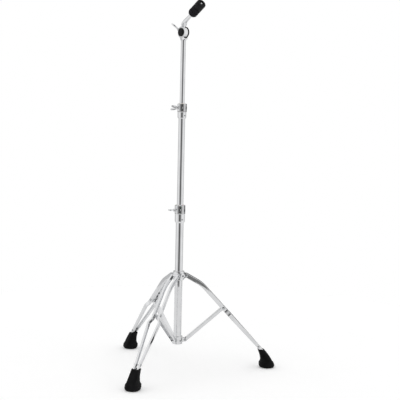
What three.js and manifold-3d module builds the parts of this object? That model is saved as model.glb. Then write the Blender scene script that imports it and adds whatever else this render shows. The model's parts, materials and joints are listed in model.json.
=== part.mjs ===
// A straight cymbal stand on a folding, double-braced tripod. Three tubes telescope through
// two height clamps, and a tilter on the top tube carries the rod that holds the cymbal.
// Lengths are in millimetres and angles in degrees. +Z is up, and the front faces -Y.

import * as THREE from 'three';
import { mergeVertices } from 'three/addons/utils/BufferGeometryUtils.js';
import Module from 'manifold-3d';

const wasm = await Module();
wasm.setup();

// Fits shared by all pieces
const clearance = 0.3;
const overrun = 2;
const weld = 1e-4;
const roundSides = 22;
const smallSides = 10;
const arcSteps = 3;

// Tubes: the base tube's outer radius, the gap that each inner tube has in the one round it,
// and how far it reaches into that tube and out of it
const baseTube = { radius: 15, wall: 1.5, length: 506 };
const middleTube = { slideGap: 0.8, wall: 1.4, overlap: 148, extension: 387 };
const topTube = { slideGap: 1.8, wall: 1.4, overlap: 167, extension: 266 };

// Folding tripod linkage: stay and upper leg link are equally long, so the upper hub moves
// straight along the tube when the stays swing. The core is what a leg's two strips go round.
const legCount = 3;
const linkage = { pivotRadius: 30, linkLength: 192, spreadAngle: 41, coreWidth: 17 };

// Leg strips: a pair of U sections per leg, bent at the knee and spread past the brace
const strip = {
  depth: 15.5, thickness: 7, gauge: 1.8, corner: 1.2, sideGap: 0.5,
  kneeReach: 68, kneeRise: 11.5, kneeRound: 16,
  jogStart: 15, jogLength: 19, wideSpacing: 43, endSpacing: 17, endDepth: 12,
  braceToEnd: 240, footBoltFromEnd: 32, taperMargin: 2,
};

// Stays: one U section per leg, open below
const stay = { depth: 12.4, gauge: 1.6, sideGap: 0.4, webRelief: 11 };

// Rivets that carry the pivots, and the bolt that holds each foot
const pin = { hubRadius: 3, braceRadius: 3.5, headWidth: 2.4, headHeight: 1.8, headCrown: 1.2 };
const footBolt = { radius: 2.5, headWidth: 2.2, headHeight: 2.2, headCrown: 1.2 };

// Hubs: a ring on the tube with one lug per leg
const lowerHub = { ringWall: 4.2, height: 30, pivotRise: 16, lugRound: 6.4, lugRise: 9, edge: 1.2 };
const upperHub = {
  linerWall: 1.8, linerLip: 1.6, ringWall: 4.4, below: 17, above: 16, lugRound: 7, lugRise: 12, edge: 1.4,
  bossRadius: 9.5, bossRise: 7.2, bossAzimuth: -60, screwRadius: 4, socketRadius: 2.2, socketDepth: 5,
};
const hubSetScrew = { radius: 3, socketRadius: 1.6, socketDepth: 2, azimuth: -60, rise: 14 };

// Rubber feet: overall size, how deep the strips' ends sit below the top, and the wall round them
const foot = { length: 61, width: 57, height: 72, socketDepth: 12, wall: 3.7, sides: 18 };
// One row per ring, from the floor up: height, shift from the strips' line as a share of the
// foot's length, and how far length and width have grown from the top's to the foot's own
const footRingShares = [
  [0, -0.666, 0.53, 0.36],
  [0.03, -0.642, 0.8, 0.75],
  [0.11, -0.57, 1, 1],
  [0.2, -0.489, 0.976, 0.96],
  [0.3, -0.404, 0.89, 0.87],
  [0.4, -0.305, 0.58, 0.51],
  [0.5, -0.225, 0.48, 0.36],
  [0.7, -0.111, 0.29, 0.134],
  [1, 0, 0, 0],
];

// Height clamps. The collar is split at the front and grips a bush round the inner tube,
// and the sleeve below it stays on the outer tube.
const lowerClamp = {
  sleeveWall: 4.3, sleeveLength: 35, sleeveTaper: 6, collarStep: 1, collarWall: 4.6, collarHeight: 32,
  boltOffset: 8.2, boltHeight: 15, earMargin: 7.5, earWidth: 36, earRound: 4.2,
  slit: 2.2, underCut: 1.6, edge: 1.4, nutWidth: 14, nutDepth: 5, screwAzimuth: -67, screwDrop: 22,
};
const upperClamp = {
  sleeveWall: 3.9, sleeveLength: 25, sleeveTaper: 5, collarStep: 1, collarWall: 4.2, collarHeight: 30.5,
  boltOffset: 7, boltHeight: 15, earMargin: 7, earWidth: 33, earRound: 4.2,
  slit: 2.2, underCut: 1.6, edge: 1.4, nutWidth: 13, nutDepth: 4.5, screwAzimuth: -54, screwDrop: 14,
};
const clampScrew = { radius: 2.6, socketRadius: 1.4, socketDepth: 1.5 };
const bushLip = 1.6;

// Wing bolts of the clamps and of the tilter
const wing = {
  boltRadius: 3.9, hubRadius: 6.6, hubLength: 9, crownRadius: 5.2,
  span: 30, reach: 27, bladeFoot: 2.6, bladeNotch: 9.2, thickness: 5, edge: 0.9,
};
// Control points of a blade's edge, as shares of the wing's span and reach
const bladeRootShares = [[0.6, 0.2], [0.84, 0.42]];
const bladeTipShares = [[1.02, 0.62], [1.02, 1], [0.84, 1]];
const bladeBackShares = [[0.5, 1], [0.35, 0.5]];

// Tilter: a yoke on a stem holds a lined drum, and the arm's ring turns on the drum
const tilter = {
  leanAzimuth: -58, restTilt: 59.5, screwLean: 160, screwTwist: 35,
  drumRadius: 12, axleRadius: 6, linerWall: 1.7, ringWall: 4.2, ringWidth: 16, ringEdge: 1,
  discMargin: 2.5, discThickness: 3, cheekRadius: 21.5, farCheekRadius: 17, cheekThickness: 3.5,
  capRadius: 15.5, capThickness: 3.4, capEdge: 1,
  bridgeGap: 1.5, bridgeThickness: 4.5, stemShoulder: 5, stemLength: 34, stemNeck: 6.2, stemCollar: 3,
  rodOffset: 30, neckRoot: 7, neckRise: 34, neckTip: 74, neckTipRadius: 6, bossInset: 0.5, bossRise: 10.5,
};

// What the rod carries, from the seat up
const rod = { radius: 4, socket: 14, beyondNut: 10.9, edge: 0.8 };
const seatWasher = { radius: 15, height: 3, dish: 1 };
const rodSleeve = { wall: 2.2, flangeRadius: 11, flangeHeight: 1.6, intoNut: 2.5 };
const felt = { radius: 17.5, height: 19.5, round: 3.4 };
const wingNut = {
  radius: 17.2, height: 22, crown: 5, threadGap: 0.1, earSpan: 22.5, earRise: 12, earThickness: 12, round: 3,
};

const radians = THREE.MathUtils.degToRad;
const up = new THREE.Vector3(0, 0, 1);

// A closed body's geometry, with shared corners merged and flat triangles dropped
function closed(geometry) {
  const bare = geometry.clone();
  bare.deleteAttribute('normal');
  bare.deleteAttribute('uv');
  const merged = mergeVertices(bare, weld);
  const corners = merged.index.array;
  const kept = [];
  for (let i = 0; i < corners.length; i += 3) {
    const [a, b, c] = [corners[i], corners[i + 1], corners[i + 2]];
    if (a !== b && b !== c && c !== a) kept.push(a, b, c);
  }
  merged.setIndex(kept);
  return merged;
}

function toSolid(geometry) {
  const body = closed(geometry);
  const mesh = new wasm.Mesh({
    numProp: 3,
    vertProperties: new Float32Array(body.attributes.position.array),
    triVerts: new Uint32Array(body.index.array),
  });
  return new wasm.Manifold(mesh);
}

function toGeometry(solid) {
  const mesh = solid.getMesh();
  const geometry = new THREE.BufferGeometry();
  geometry.setAttribute('position', new THREE.BufferAttribute(new Float32Array(mesh.vertProperties), 3));
  geometry.setIndex(new THREE.BufferAttribute(new Uint32Array(mesh.triVerts), 1));
  return geometry;
}

function joined(...geometries) {
  return toGeometry(geometries.map(toSolid).reduce((whole, piece) => whole.add(piece)));
}

function cut(geometry, ...cutters) {
  const rest = cutters.map(toSolid).reduce((whole, cutter) => whole.subtract(cutter), toSolid(geometry));
  return toGeometry(rest);
}

// A body turned about Z from [radius, height] corners
function turned(profile, sides = roundSides) {
  const points = profile.map(([radius, height]) => new THREE.Vector2(radius, height));
  const geometry = new THREE.LatheGeometry(points, sides);
  geometry.rotateX(Math.PI / 2);
  return outward(closed(geometry));
}

// A tube or ring about Z
function ring(outerRadius, boreRadius, bottom, top, edge = 0) {
  return turned([
    [boreRadius, bottom], [outerRadius - edge, bottom], [outerRadius, bottom + edge],
    [outerRadius, top - edge], [outerRadius - edge, top], [boreRadius, top], [boreRadius, bottom],
  ]);
}

// A plain cylinder about Z, used for shafts and as a drill
function rodAlong(radius, bottom, top, sides = smallSides) {
  return turned([[0, bottom], [radius, bottom], [radius, top], [0, top]], sides);
}

// A drill whose flats stay clear of a shaft of the given radius
function drill(shaftRadius, bottom, top, sides = smallSides) {
  return rodAlong((shaftRadius + clearance) / Math.cos(Math.PI / sides), bottom, top, sides);
}

function signedVolume(geometry) {
  const place = geometry.attributes.position;
  const corners = geometry.index.array;
  const [a, b, c] = [new THREE.Vector3(), new THREE.Vector3(), new THREE.Vector3()];
  let sum = 0;
  for (let i = 0; i < corners.length; i += 3) {
    a.fromBufferAttribute(place, corners[i]);
    b.fromBufferAttribute(place, corners[i + 1]);
    c.fromBufferAttribute(place, corners[i + 2]);
    sum += a.dot(b.cross(c));
  }
  return sum;
}

// The same body with its faces pointing out
function outward(geometry) {
  if (signedVolume(geometry) > 0) return geometry;
  const corners = Array.from(geometry.index.array);
  const flipped = [];
  for (let i = 0; i < corners.length; i += 3) flipped.push(corners[i], corners[i + 2], corners[i + 1]);
  geometry.setIndex(flipped);
  return geometry;
}

// A body lofted through rings of points, closed at both ends by its flat section
function lofted(rings, section) {
  const count = section.length;
  const places = rings.flat().flatMap((point) => [point.x, point.y, point.z]);
  const corners = [];
  for (let i = 0; i + 1 < rings.length; i += 1) {
    for (let j = 0; j < count; j += 1) {
      const [a, b] = [i * count + j, i * count + (j + 1) % count];
      corners.push(a, b, b + count, a, b + count, a + count);
    }
  }
  const last = (rings.length - 1) * count;
  const reversed = THREE.ShapeUtils.isClockWise(section);
  for (const [a, b, c] of THREE.ShapeUtils.triangulateShape(section, [])) {
    const [first, third] = reversed ? [c, a] : [a, c];
    corners.push(third, b, first, last + first, last + b, last + third);
  }
  const geometry = new THREE.BufferGeometry();
  geometry.setAttribute('position', new THREE.Float32BufferAttribute(places, 3));
  geometry.setIndex(corners);
  return outward(geometry);
}

// An outline drawn in the leg's plane (across = X, up = Z), extruded along Y about its middle
function plate(shape, width, edge = 0, curveSegments = arcSteps) {
  const geometry = new THREE.ExtrudeGeometry(shape, {
    depth: width - 2 * edge, bevelEnabled: edge > 0, bevelThickness: edge, bevelSize: edge,
    bevelOffset: -edge, bevelSegments: 1, curveSegments,
  });
  geometry.translate(0, 0, edge - width / 2);
  geometry.rotateX(Math.PI / 2);
  return geometry;
}

// An outline with straight sides and round ends, from one pivot to the other
function slotShape(length, radius) {
  const shape = new THREE.Shape();
  shape.absarc(0, 0, radius, Math.PI / 2, 3 * Math.PI / 2, false);
  shape.absarc(length, 0, radius, -Math.PI / 2, Math.PI / 2, false);
  return shape;
}

function boxBetween(low, high) {
  const geometry = new THREE.BoxGeometry(high[0] - low[0], high[1] - low[1], high[2] - low[2]);
  geometry.translate((low[0] + high[0]) / 2, (low[1] + high[1]) / 2, (low[2] + high[2]) / 2);
  return geometry;
}

function alongY(geometry) {
  return geometry.rotateX(-Math.PI / 2);
}

function alongX(geometry) {
  return geometry.rotateY(Math.PI / 2);
}

function moved(geometry, x, y, z) {
  return geometry.translate(x, y, z);
}

function turnedAbout(geometry, azimuth) {
  return geometry.rotateZ(radians(azimuth));
}

// Finishes
function chrome() {
  return new THREE.MeshStandardMaterial({ color: 0xdfe1e2, roughness: 0.12, metalness: 1 });
}

function zincSteel() {
  return new THREE.MeshStandardMaterial({ color: 0xb9bcbe, roughness: 0.3, metalness: 1 });
}

function blackRubber() {
  return new THREE.MeshStandardMaterial({ color: 0x141414, roughness: 0.75, metalness: 0 });
}

function blackFelt() {
  return new THREE.MeshStandardMaterial({ color: 0x17171a, roughness: 0.95, metalness: 0 });
}

function blackNylon() {
  return new THREE.MeshStandardMaterial({ color: 0x1b1c1d, roughness: 0.45, metalness: 0 });
}

function paleNylon() {
  return new THREE.MeshStandardMaterial({ color: 0xd9d9d4, roughness: 0.5, metalness: 0 });
}

function piece(name, geometry, material) {
  const flat = closed(geometry).toNonIndexed();
  flat.computeVertexNormals();
  const mesh = new THREE.Mesh(flat, material);
  mesh.name = name;
  return mesh;
}

function tubePiece(name, tube) {
  return piece(name, ring(tube.radius, tube.radius - tube.wall, tube.bottom, tube.top), chrome());
}

// Places of the linkage in a leg's own plane: X is the distance from the stand's axis. The foot
// sets the height of the strips' ends, and every height above it follows.
const spread = radians(linkage.spreadAngle);
const kneeSlope = spread - radians(strip.kneeRise);
const stayRun = new THREE.Vector2(Math.cos(spread), Math.sin(spread)).multiplyScalar(linkage.linkLength);
const linkRun = new THREE.Vector2(stayRun.x, -stayRun.y);
const kneeRun = new THREE.Vector2(Math.cos(kneeSlope), -Math.sin(kneeSlope)).multiplyScalar(strip.kneeReach);
const upperRun = kneeRun.clone().normalize();
const lowerRun = linkRun.clone().sub(kneeRun).normalize();
const bracePivot = new THREE.Vector2(
  linkage.pivotRadius + stayRun.x, foot.height - foot.socketDepth - lowerRun.y * strip.braceToEnd,
);
const lowerPivot = bracePivot.clone().sub(stayRun);
const upperPivot = bracePivot.clone().sub(linkRun);
const knee = upperPivot.clone().add(kneeRun);
const legEnd = bracePivot.clone().addScaledVector(lowerRun, strip.braceToEnd);
const boltPlace = legEnd.clone().addScaledVector(lowerRun, -strip.footBoltFromEnd);
const stripSpacing = linkage.coreWidth + 2 * strip.sideGap + strip.thickness;

// The three tubes with their radii and the heights of their ends
function telescope() {
  const bottom = lowerPivot.y - lowerHub.pivotRise;
  const base = { radius: baseTube.radius, wall: baseTube.wall, bottom, top: bottom + baseTube.length };
  const inside = (outer, tube) => ({
    radius: outer.radius - outer.wall - tube.slideGap,
    wall: tube.wall,
    bottom: outer.top - tube.overlap,
    top: outer.top + tube.extension,
  });
  const middle = inside(base, middleTube);
  return { base, middle, top: inside(middle, topTube) };
}
const tubes = telescope();

// Stations along the middle line: place, direction, sideways spacing and depth of the pair
function legStations() {
  const stations = [];
  const add = (place, run, spacing, depth) => stations.push({ place, run, spacing, depth });
  const headRadius = strip.depth / 2;
  for (const turn of [20, 50, 90]) {
    const back = headRadius * Math.cos(radians(turn));
    const place = upperPivot.clone().addScaledVector(upperRun, -back);
    add(place, upperRun, stripSpacing, strip.depth * Math.sin(radians(turn)));
  }
  const bendStart = knee.clone().addScaledVector(upperRun, -strip.kneeRound);
  const bendEnd = knee.clone().addScaledVector(lowerRun, strip.kneeRound);
  const bend = new THREE.QuadraticBezierCurve(bendStart, knee, bendEnd);
  const bendSteps = 3;
  for (let i = 0; i <= bendSteps; i += 1) {
    add(bend.getPoint(i / bendSteps), bend.getTangent(i / bendSteps), stripSpacing, strip.depth);
  }
  const alongLower = (distance, spacing, depth) => {
    add(bracePivot.clone().addScaledVector(lowerRun, distance), lowerRun, spacing, depth);
  };
  alongLower(strip.jogStart, stripSpacing, strip.depth);
  alongLower(strip.jogStart + strip.jogLength, strip.wideSpacing, strip.depth);
  const taperEnd = strip.braceToEnd - strip.footBoltFromEnd - strip.taperMargin;
  alongLower(taperEnd, strip.endSpacing, strip.endDepth);
  alongLower(strip.braceToEnd, strip.endSpacing, strip.endDepth);
  return stations;
}

// A U section, its web on the outer side and its corners eased, as [up, out] corners
function stripSection(depth) {
  const [half, side, web, ease] = [depth / 2, strip.thickness / 2, strip.gauge, strip.corner];
  const flange = Math.min(web, half / 2);
  const eased = Math.min(ease, half / 2);
  return [
    [-half, -side], [-half, side - ease], [-half + eased, side], [half - eased, side],
    [half, side - ease], [half, -side], [half - flange, -side], [half - flange, side - web],
    [-half + flange, side - web], [-half + flange, -side],
  ].map(([rise, out]) => new THREE.Vector2(rise, out));
}

function legStrip(name, side) {
  const rings = legStations().map(({ place, run, spacing, depth }) => stripSection(depth).map((corner) => {
    const out = side * (spacing / 2 + corner.y);
    return new THREE.Vector3(place.x - run.y * corner.x, out, place.y + run.x * corner.x);
  }));
  const body = lofted(rings, stripSection(strip.depth));
  const reach = strip.wideSpacing;
  const holes = [
    [upperPivot, pin.hubRadius], [bracePivot, pin.braceRadius], [boltPlace, footBolt.radius],
  ].map(([place, radius]) => moved(alongY(drill(radius, -reach, reach)), place.x, 0, place.y));
  return piece(name, cut(body, ...holes), chrome());
}

// A rivet or bolt across the leg, with a crowned head at each end
function crossPin(name, place, radius, halfGrip, head) {
  const grip = halfGrip + clearance;
  const tip = grip + head.headHeight;
  const rim = radius + head.headWidth;
  const face = rim - head.headCrown;
  const profile = [
    [0, -tip], [face, -tip], [rim, -grip], [radius, -grip],
    [radius, grip], [rim, grip], [face, tip], [0, tip],
  ];
  return piece(name, moved(alongY(turned(profile, smallSides)), place.x, 0, place.y), zincSteel());
}

// A stay: two cheeks and the web above them, cut back round both pivots
function stayGeometry() {
  const radius = stay.depth / 2;
  const length = linkage.linkLength;
  const inner = linkage.coreWidth / 2 - stay.gauge;
  const body = plate(slotShape(length, radius), linkage.coreWidth);
  const channel = boxBetween(
    [-radius - overrun, -inner, -radius - overrun],
    [length + radius + overrun, inner, radius - stay.gauge],
  );
  const relief = (at) => moved(alongY(rodAlong(stay.webRelief, -inner, inner)), at, 0, 0);
  const hole = (at, pinRadius) => {
    const pinHole = alongY(drill(pinRadius, -linkage.coreWidth, linkage.coreWidth));
    return moved(pinHole, at, 0, 0);
  };
  const geometry = cut(
    body, channel, relief(0), relief(length), hole(0, pin.hubRadius), hole(length, pin.braceRadius),
  );
  geometry.rotateY(-spread);
  return moved(geometry, lowerPivot.x, 0, lowerPivot.y);
}

// A foot's section at a share of its height: an oval at the floor, squarer towards the top
function footSection(rise) {
  const power = 1 / (1 + rise);
  const section = [];
  for (let i = 0; i < foot.sides; i += 1) {
    const turn = 2 * Math.PI * i / foot.sides;
    const [along, across] = [Math.cos(turn), Math.sin(turn)];
    section.push(new THREE.Vector2(
      Math.sign(along) * Math.abs(along) ** power, Math.sign(across) * Math.abs(across) ** power,
    ));
  }
  return section;
}

// The foot's solid, lofted from the floor up, with a socket for the ends of both strips
function footGeometry() {
  const halfDeep = strip.endDepth / 2 + clearance;
  const halfWide = (strip.endSpacing + strip.thickness) / 2 + clearance;
  const topLength = foot.wall - halfDeep / lowerRun.y;
  const topWidth = foot.wall + halfWide;
  const rings = footRingShares.map(([rise, shift, lengthGrowth, widthGrowth]) => {
    const height = foot.height * rise;
    const middle = legEnd.x + (height - legEnd.y) * lowerRun.x / lowerRun.y + foot.length * shift;
    const halfLength = topLength + (foot.length / 2 - topLength) * lengthGrowth;
    const halfWidth = topWidth + (foot.width / 2 - topWidth) * widthGrowth;
    return footSection(rise).map((corner) => (
      new THREE.Vector3(middle + halfLength * corner.x, halfWidth * corner.y, height)
    ));
  });
  const socket = boxBetween(
    [-foot.height, -halfWide, -halfDeep],
    [clearance, halfWide, halfDeep],
  );
  socket.rotateY(Math.atan2(-lowerRun.y, lowerRun.x));
  return cut(lofted(rings, footSection(0)), moved(socket, legEnd.x, 0, legEnd.y));
}

// A leg with its strips, foot and pivots, in its own plane
function leg(number) {
  const group = new THREE.Group();
  const halfPair = (stripSpacing + strip.thickness) / 2;
  const halfEnd = (strip.endSpacing + strip.thickness) / 2;
  group.add(
    legStrip(`leg_${number}_left_strip`, 1),
    legStrip(`leg_${number}_right_strip`, -1),
    piece(`leg_${number}_rubber_foot`, footGeometry(), blackRubber()),
    piece(`leg_${number}_stay`, stayGeometry(), chrome()),
    crossPin(`leg_${number}_hub_pin`, upperPivot, pin.hubRadius, halfPair, pin),
    crossPin(`leg_${number}_brace_pin`, bracePivot, pin.braceRadius, halfPair, pin),
    crossPin(`leg_${number}_lower_pin`, lowerPivot, pin.hubRadius, linkage.coreWidth / 2, pin),
    crossPin(`leg_${number}_foot_bolt`, boltPlace, footBolt.radius, halfEnd, footBolt),
  );
  return group;
}

// A ring round the tube with one rounded lug per leg, drilled for its pivot
function hubGeometry(hub, lugWidth, boreRadius, bottom, top, pivotHeight) {
  const ringRadius = boreRadius + hub.ringWall;
  const pieces = [ring(ringRadius, boreRadius, bottom, top, hub.edge)];
  const holes = [];
  for (let i = 0; i < legCount; i += 1) {
    const azimuth = 360 * i / legCount;
    const outline = new THREE.Shape();
    const root = (boreRadius + ringRadius) / 2;
    outline.moveTo(root, pivotHeight - hub.lugRise);
    outline.lineTo(ringRadius, pivotHeight - hub.lugRise);
    outline.absarc(linkage.pivotRadius, pivotHeight, hub.lugRound, -Math.PI / 2, Math.PI / 2, false);
    outline.lineTo(ringRadius, pivotHeight + hub.lugRise);
    outline.lineTo(root, pivotHeight + hub.lugRise);
    pieces.push(turnedAbout(plate(outline, lugWidth), azimuth));
    const hole = alongY(drill(pin.hubRadius, -lugWidth, lugWidth));
    holes.push(turnedAbout(moved(hole, linkage.pivotRadius, 0, pivotHeight), azimuth));
  }
  return { pieces, holes };
}

// A headless screw on X with a socket in its outer end
function socketScrew(radius, inner, outer, socketRadius, socketDepth) {
  return alongX(turned([
    [0, inner], [radius, inner], [radius, outer], [socketRadius, outer], [socketRadius, outer - socketDepth],
    [0, outer - socketDepth],
  ], smallSides));
}

function lowerHubPieces() {
  const bore = tubes.base.radius + clearance;
  const surface = bore + lowerHub.ringWall;
  const bottom = tubes.base.bottom;
  const lugWidth = linkage.coreWidth - 2 * stay.gauge - 2 * stay.sideGap;
  const top = bottom + lowerHub.height;
  const { pieces, holes } = hubGeometry(lowerHub, lugWidth, bore, bottom, top, lowerPivot.y);
  const place = (geometry) => (
    turnedAbout(moved(geometry, 0, 0, bottom + hubSetScrew.rise), hubSetScrew.azimuth)
  );
  const screwHole = alongX(drill(hubSetScrew.radius, tubes.base.radius, surface + overrun));
  const screw = socketScrew(
    hubSetScrew.radius, bore, surface - clearance, hubSetScrew.socketRadius, hubSetScrew.socketDepth,
  );
  return [
    piece('lower_hub', cut(joined(...pieces), ...holes, place(screwHole)), chrome()),
    piece('lower_hub_set_screw', place(screw), zincSteel()),
  ];
}

function upperHubPieces() {
  const linerBore = tubes.base.radius + clearance;
  const linerRadius = linerBore + upperHub.linerWall;
  const bore = linerRadius + clearance;
  const [bottom, top] = [upperPivot.y - upperHub.below, upperPivot.y + upperHub.above];
  const bossReach = bore + upperHub.ringWall + upperHub.bossRise;
  const { pieces, holes } = hubGeometry(upperHub, linkage.coreWidth, bore, bottom, top, upperPivot.y);
  const boss = alongX(turned([
    [0, bore + upperHub.edge], [upperHub.bossRadius, bore + upperHub.edge],
    [upperHub.bossRadius, bossReach - upperHub.edge],
    [upperHub.bossRadius - upperHub.edge, bossReach], [0, bossReach],
  ], roundSides));
  const place = (geometry) => turnedAbout(moved(geometry, 0, 0, upperPivot.y), upperHub.bossAzimuth);
  const screwHole = alongX(drill(upperHub.screwRadius, tubes.base.radius, bossReach + overrun));
  const body = cut(
    joined(...pieces, place(boss)), ...holes, place(screwHole.clone()),
    rodAlong(bore, bottom, top, roundSides),
  );
  const liner = turned([
    [linerBore, bottom - upperHub.linerLip], [linerRadius + upperHub.linerLip, bottom - upperHub.linerLip],
    [linerRadius + upperHub.linerLip, bottom - clearance], [linerRadius, bottom - clearance],
    [linerRadius, top], [linerBore, top], [linerBore, bottom - upperHub.linerLip],
  ]);
  const screw = socketScrew(
    upperHub.screwRadius, linerBore, bossReach - clearance, upperHub.socketRadius, upperHub.socketDepth,
  );
  return [
    piece('upper_hub', body, chrome()),
    piece('upper_hub_liner', cut(liner, place(screwHole.clone())), paleNylon()),
    piece('upper_hub_lock_screw', place(screw), zincSteel()),
  ];
}

// Both blades of a wing bolt in one outline: ears that flare out and back from the hub
function wingBlades() {
  const at = (side, [out, rise]) => [side * wing.span * out, wing.reach * rise];
  const [root, shoulder] = bladeRootShares;
  const [flare, corner, tip] = bladeTipShares;
  const [back, throat] = bladeBackShares;
  const outline = new THREE.Shape();
  outline.moveTo(0, wing.bladeFoot);
  outline.quadraticCurveTo(...at(1, root), ...at(1, shoulder));
  outline.bezierCurveTo(...at(1, flare), ...at(1, corner), ...at(1, tip));
  outline.bezierCurveTo(...at(1, back), ...at(1, throat), 0, wing.bladeNotch);
  outline.bezierCurveTo(...at(-1, throat), ...at(-1, back), ...at(-1, tip));
  outline.bezierCurveTo(...at(-1, corner), ...at(-1, flare), ...at(-1, shoulder));
  outline.quadraticCurveTo(...at(-1, root), 0, wing.bladeFoot);
  return plate(outline, wing.thickness, wing.edge);
}

// A wing bolt along Z: its shaft runs down from the origin, its hub and blades stand above
function wingBolt(shaftLength, twist) {
  const hub = turned([
    [0, -shaftLength], [wing.boltRadius, -shaftLength], [wing.boltRadius, 0], [wing.hubRadius, 0],
    [wing.hubRadius, wing.bladeFoot], [wing.crownRadius, wing.hubLength], [0, wing.hubLength],
  ], smallSides);
  const geometry = joined(hub, wingBlades());
  return geometry.rotateZ(radians(twist));
}

// A clamp's sizes, with those that follow from the outer and inner tube that it joins
function fitted(clamp, outer, inner) {
  const sleeveBore = outer.radius + clearance;
  const collarBore = sleeveBore + clamp.collarStep;
  const boltReach = collarBore + clamp.boltOffset;
  return {
    ...clamp,
    outer,
    inner,
    sleeveBore,
    collarBore,
    boltReach,
    sleeveRadius: sleeveBore + clamp.sleeveWall,
    collarRadius: collarBore + clamp.collarWall,
    earReach: boltReach + clamp.earMargin,
  };
}

// The two ears of a clamp as one block, before the split: round front corners, eased edges
function earBlock(clamp) {
  const { edge, earRound } = clamp;
  const [half, front] = [clamp.earWidth / 2, -clamp.earReach];
  const outline = new THREE.Shape();
  outline.moveTo(-half, 0);
  outline.lineTo(-half, front + earRound);
  outline.quadraticCurveTo(-half, front, -half + earRound, front);
  outline.lineTo(half - earRound, front);
  outline.quadraticCurveTo(half, front, half, front + earRound);
  outline.lineTo(half, 0);
  outline.lineTo(-half, 0);
  const block = new THREE.ExtrudeGeometry(outline, {
    depth: clamp.collarHeight - 2 * edge - clamp.underCut, bevelEnabled: true, bevelThickness: edge,
    bevelSize: edge, bevelOffset: -edge, bevelSegments: 1, curveSegments: arcSteps,
  });
  return moved(block, 0, 0, edge + clamp.underCut);
}

// A height clamp's split casting, in its own frame: the top of the outer tube is at height 0
function clampBody(clamp) {
  const { edge, collarHeight: top, sleeveLength: drop, sleeveBore, collarBore, collarRadius } = clamp;
  const sleeve = turned([
    [sleeveBore, -drop], [sleeveBore + edge, -drop], [clamp.sleeveRadius, clamp.sleeveTaper - drop],
    [collarRadius, 0], [collarRadius, top - edge], [collarRadius - edge, top], [collarBore, top],
    [collarBore, 0], [sleeveBore, 0], [sleeveBore, -drop],
  ]);
  const half = clamp.earWidth / 2;
  const reach = clamp.earReach + overrun;
  const bolt = moved(alongX(drill(wing.boltRadius, -reach, reach)), 0, -clamp.boltReach, clamp.boltHeight);
  const slit = boxBetween(
    [-clamp.slit / 2, -reach, 0], [clamp.slit / 2, 0, top + overrun],
  );
  const underCut = boxBetween([-reach, -reach, 0], [reach, -collarBore / 2, clamp.underCut]);
  const nutHalf = clamp.nutWidth / 2 + clearance;
  const nutPocket = boxBetween(
    [half - clamp.nutDepth - clearance, -clamp.boltReach - nutHalf, clamp.underCut - overrun],
    [half + overrun, -clamp.boltReach + nutHalf, top + overrun],
  );
  const screw = alongX(drill(clampScrew.radius, clamp.outer.radius, collarRadius + overrun));
  return cut(
    joined(sleeve, earBlock(clamp)), rodAlong(collarBore, 0, top + overrun, roundSides), bolt, slit, underCut,
    nutPocket, placedScrew(screw, clamp),
  );
}

function placedScrew(geometry, clamp) {
  return turnedAbout(moved(geometry, 0, 0, -clamp.screwDrop), clamp.screwAzimuth);
}

// The square nut in the ear's pocket
function clampNut(clamp) {
  const half = clamp.nutWidth / 2;
  const outline = new THREE.Shape();
  outline.moveTo(-half, -half);
  outline.lineTo(half, -half);
  outline.lineTo(half, half);
  outline.lineTo(-half, half);
  const body = plate(outline, clamp.nutDepth, clearance);
  const nut = cut(body, alongY(drill(wing.boltRadius, -clamp.nutDepth, clamp.nutDepth)));
  nut.rotateZ(Math.PI / 2);
  return moved(nut, (clamp.earWidth - clamp.nutDepth) / 2, -clamp.boltReach, clamp.boltHeight);
}

function clampBush(clamp) {
  const bore = clamp.inner.radius + clearance;
  const radius = clamp.collarBore - clearance;
  const top = clamp.collarHeight + clearance;
  return turned([
    [bore, clearance], [radius, clearance], [radius, top], [radius + bushLip, top],
    [radius + bushLip, top + bushLip], [bore, top + bushLip], [bore, clearance],
  ]);
}

function clampPieces(name, clamp) {
  const bolt = wingBolt(clamp.earWidth, 0);
  bolt.rotateY(-Math.PI / 2);
  bolt.translate(-clamp.earWidth / 2 - clearance, -clamp.boltReach, clamp.boltHeight);
  const screw = socketScrew(
    clampScrew.radius, clamp.sleeveBore, clamp.sleeveRadius - 2 * clearance,
    clampScrew.socketRadius, clampScrew.socketDepth,
  );
  const group = new THREE.Group();
  group.position.z = clamp.outer.top;
  group.add(
    piece(name, clampBody(clamp), chrome()),
    piece(`${name}_bush`, clampBush(clamp), paleNylon()),
    piece(`${name}_wing_bolt`, bolt, chrome()),
    piece(`${name}_nut`, clampNut(clamp), zincSteel()),
    piece(`${name}_set_screw`, placedScrew(screw, clamp), zincSteel()),
  );
  return group;
}

// Places along the drum's axis, from the near side (-Y) to the far side
const ringHalf = tilter.ringWidth / 2;
const nearCheek = -ringHalf - clearance - tilter.cheekThickness;
const farDisc = ringHalf + clearance;
const farCheek = farDisc + tilter.discThickness + clearance;
const farFace = farCheek + tilter.cheekThickness;

// Radii from the drum out, and the drops from its axis to the bridge and to the top tube's end
const frictionBore = tilter.drumRadius + clearance;
const frictionRadius = frictionBore + tilter.linerWall;
const eyeBore = frictionRadius + clearance;
const eyeRadius = eyeBore + tilter.ringWall;
const discRadius = eyeRadius + tilter.discMargin;
const bossReach = eyeRadius + tilter.bossRise;
const bridgeDrop = discRadius + tilter.bridgeGap + tilter.bridgeThickness;
const tubeDrop = bridgeDrop + tilter.stemShoulder;

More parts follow.
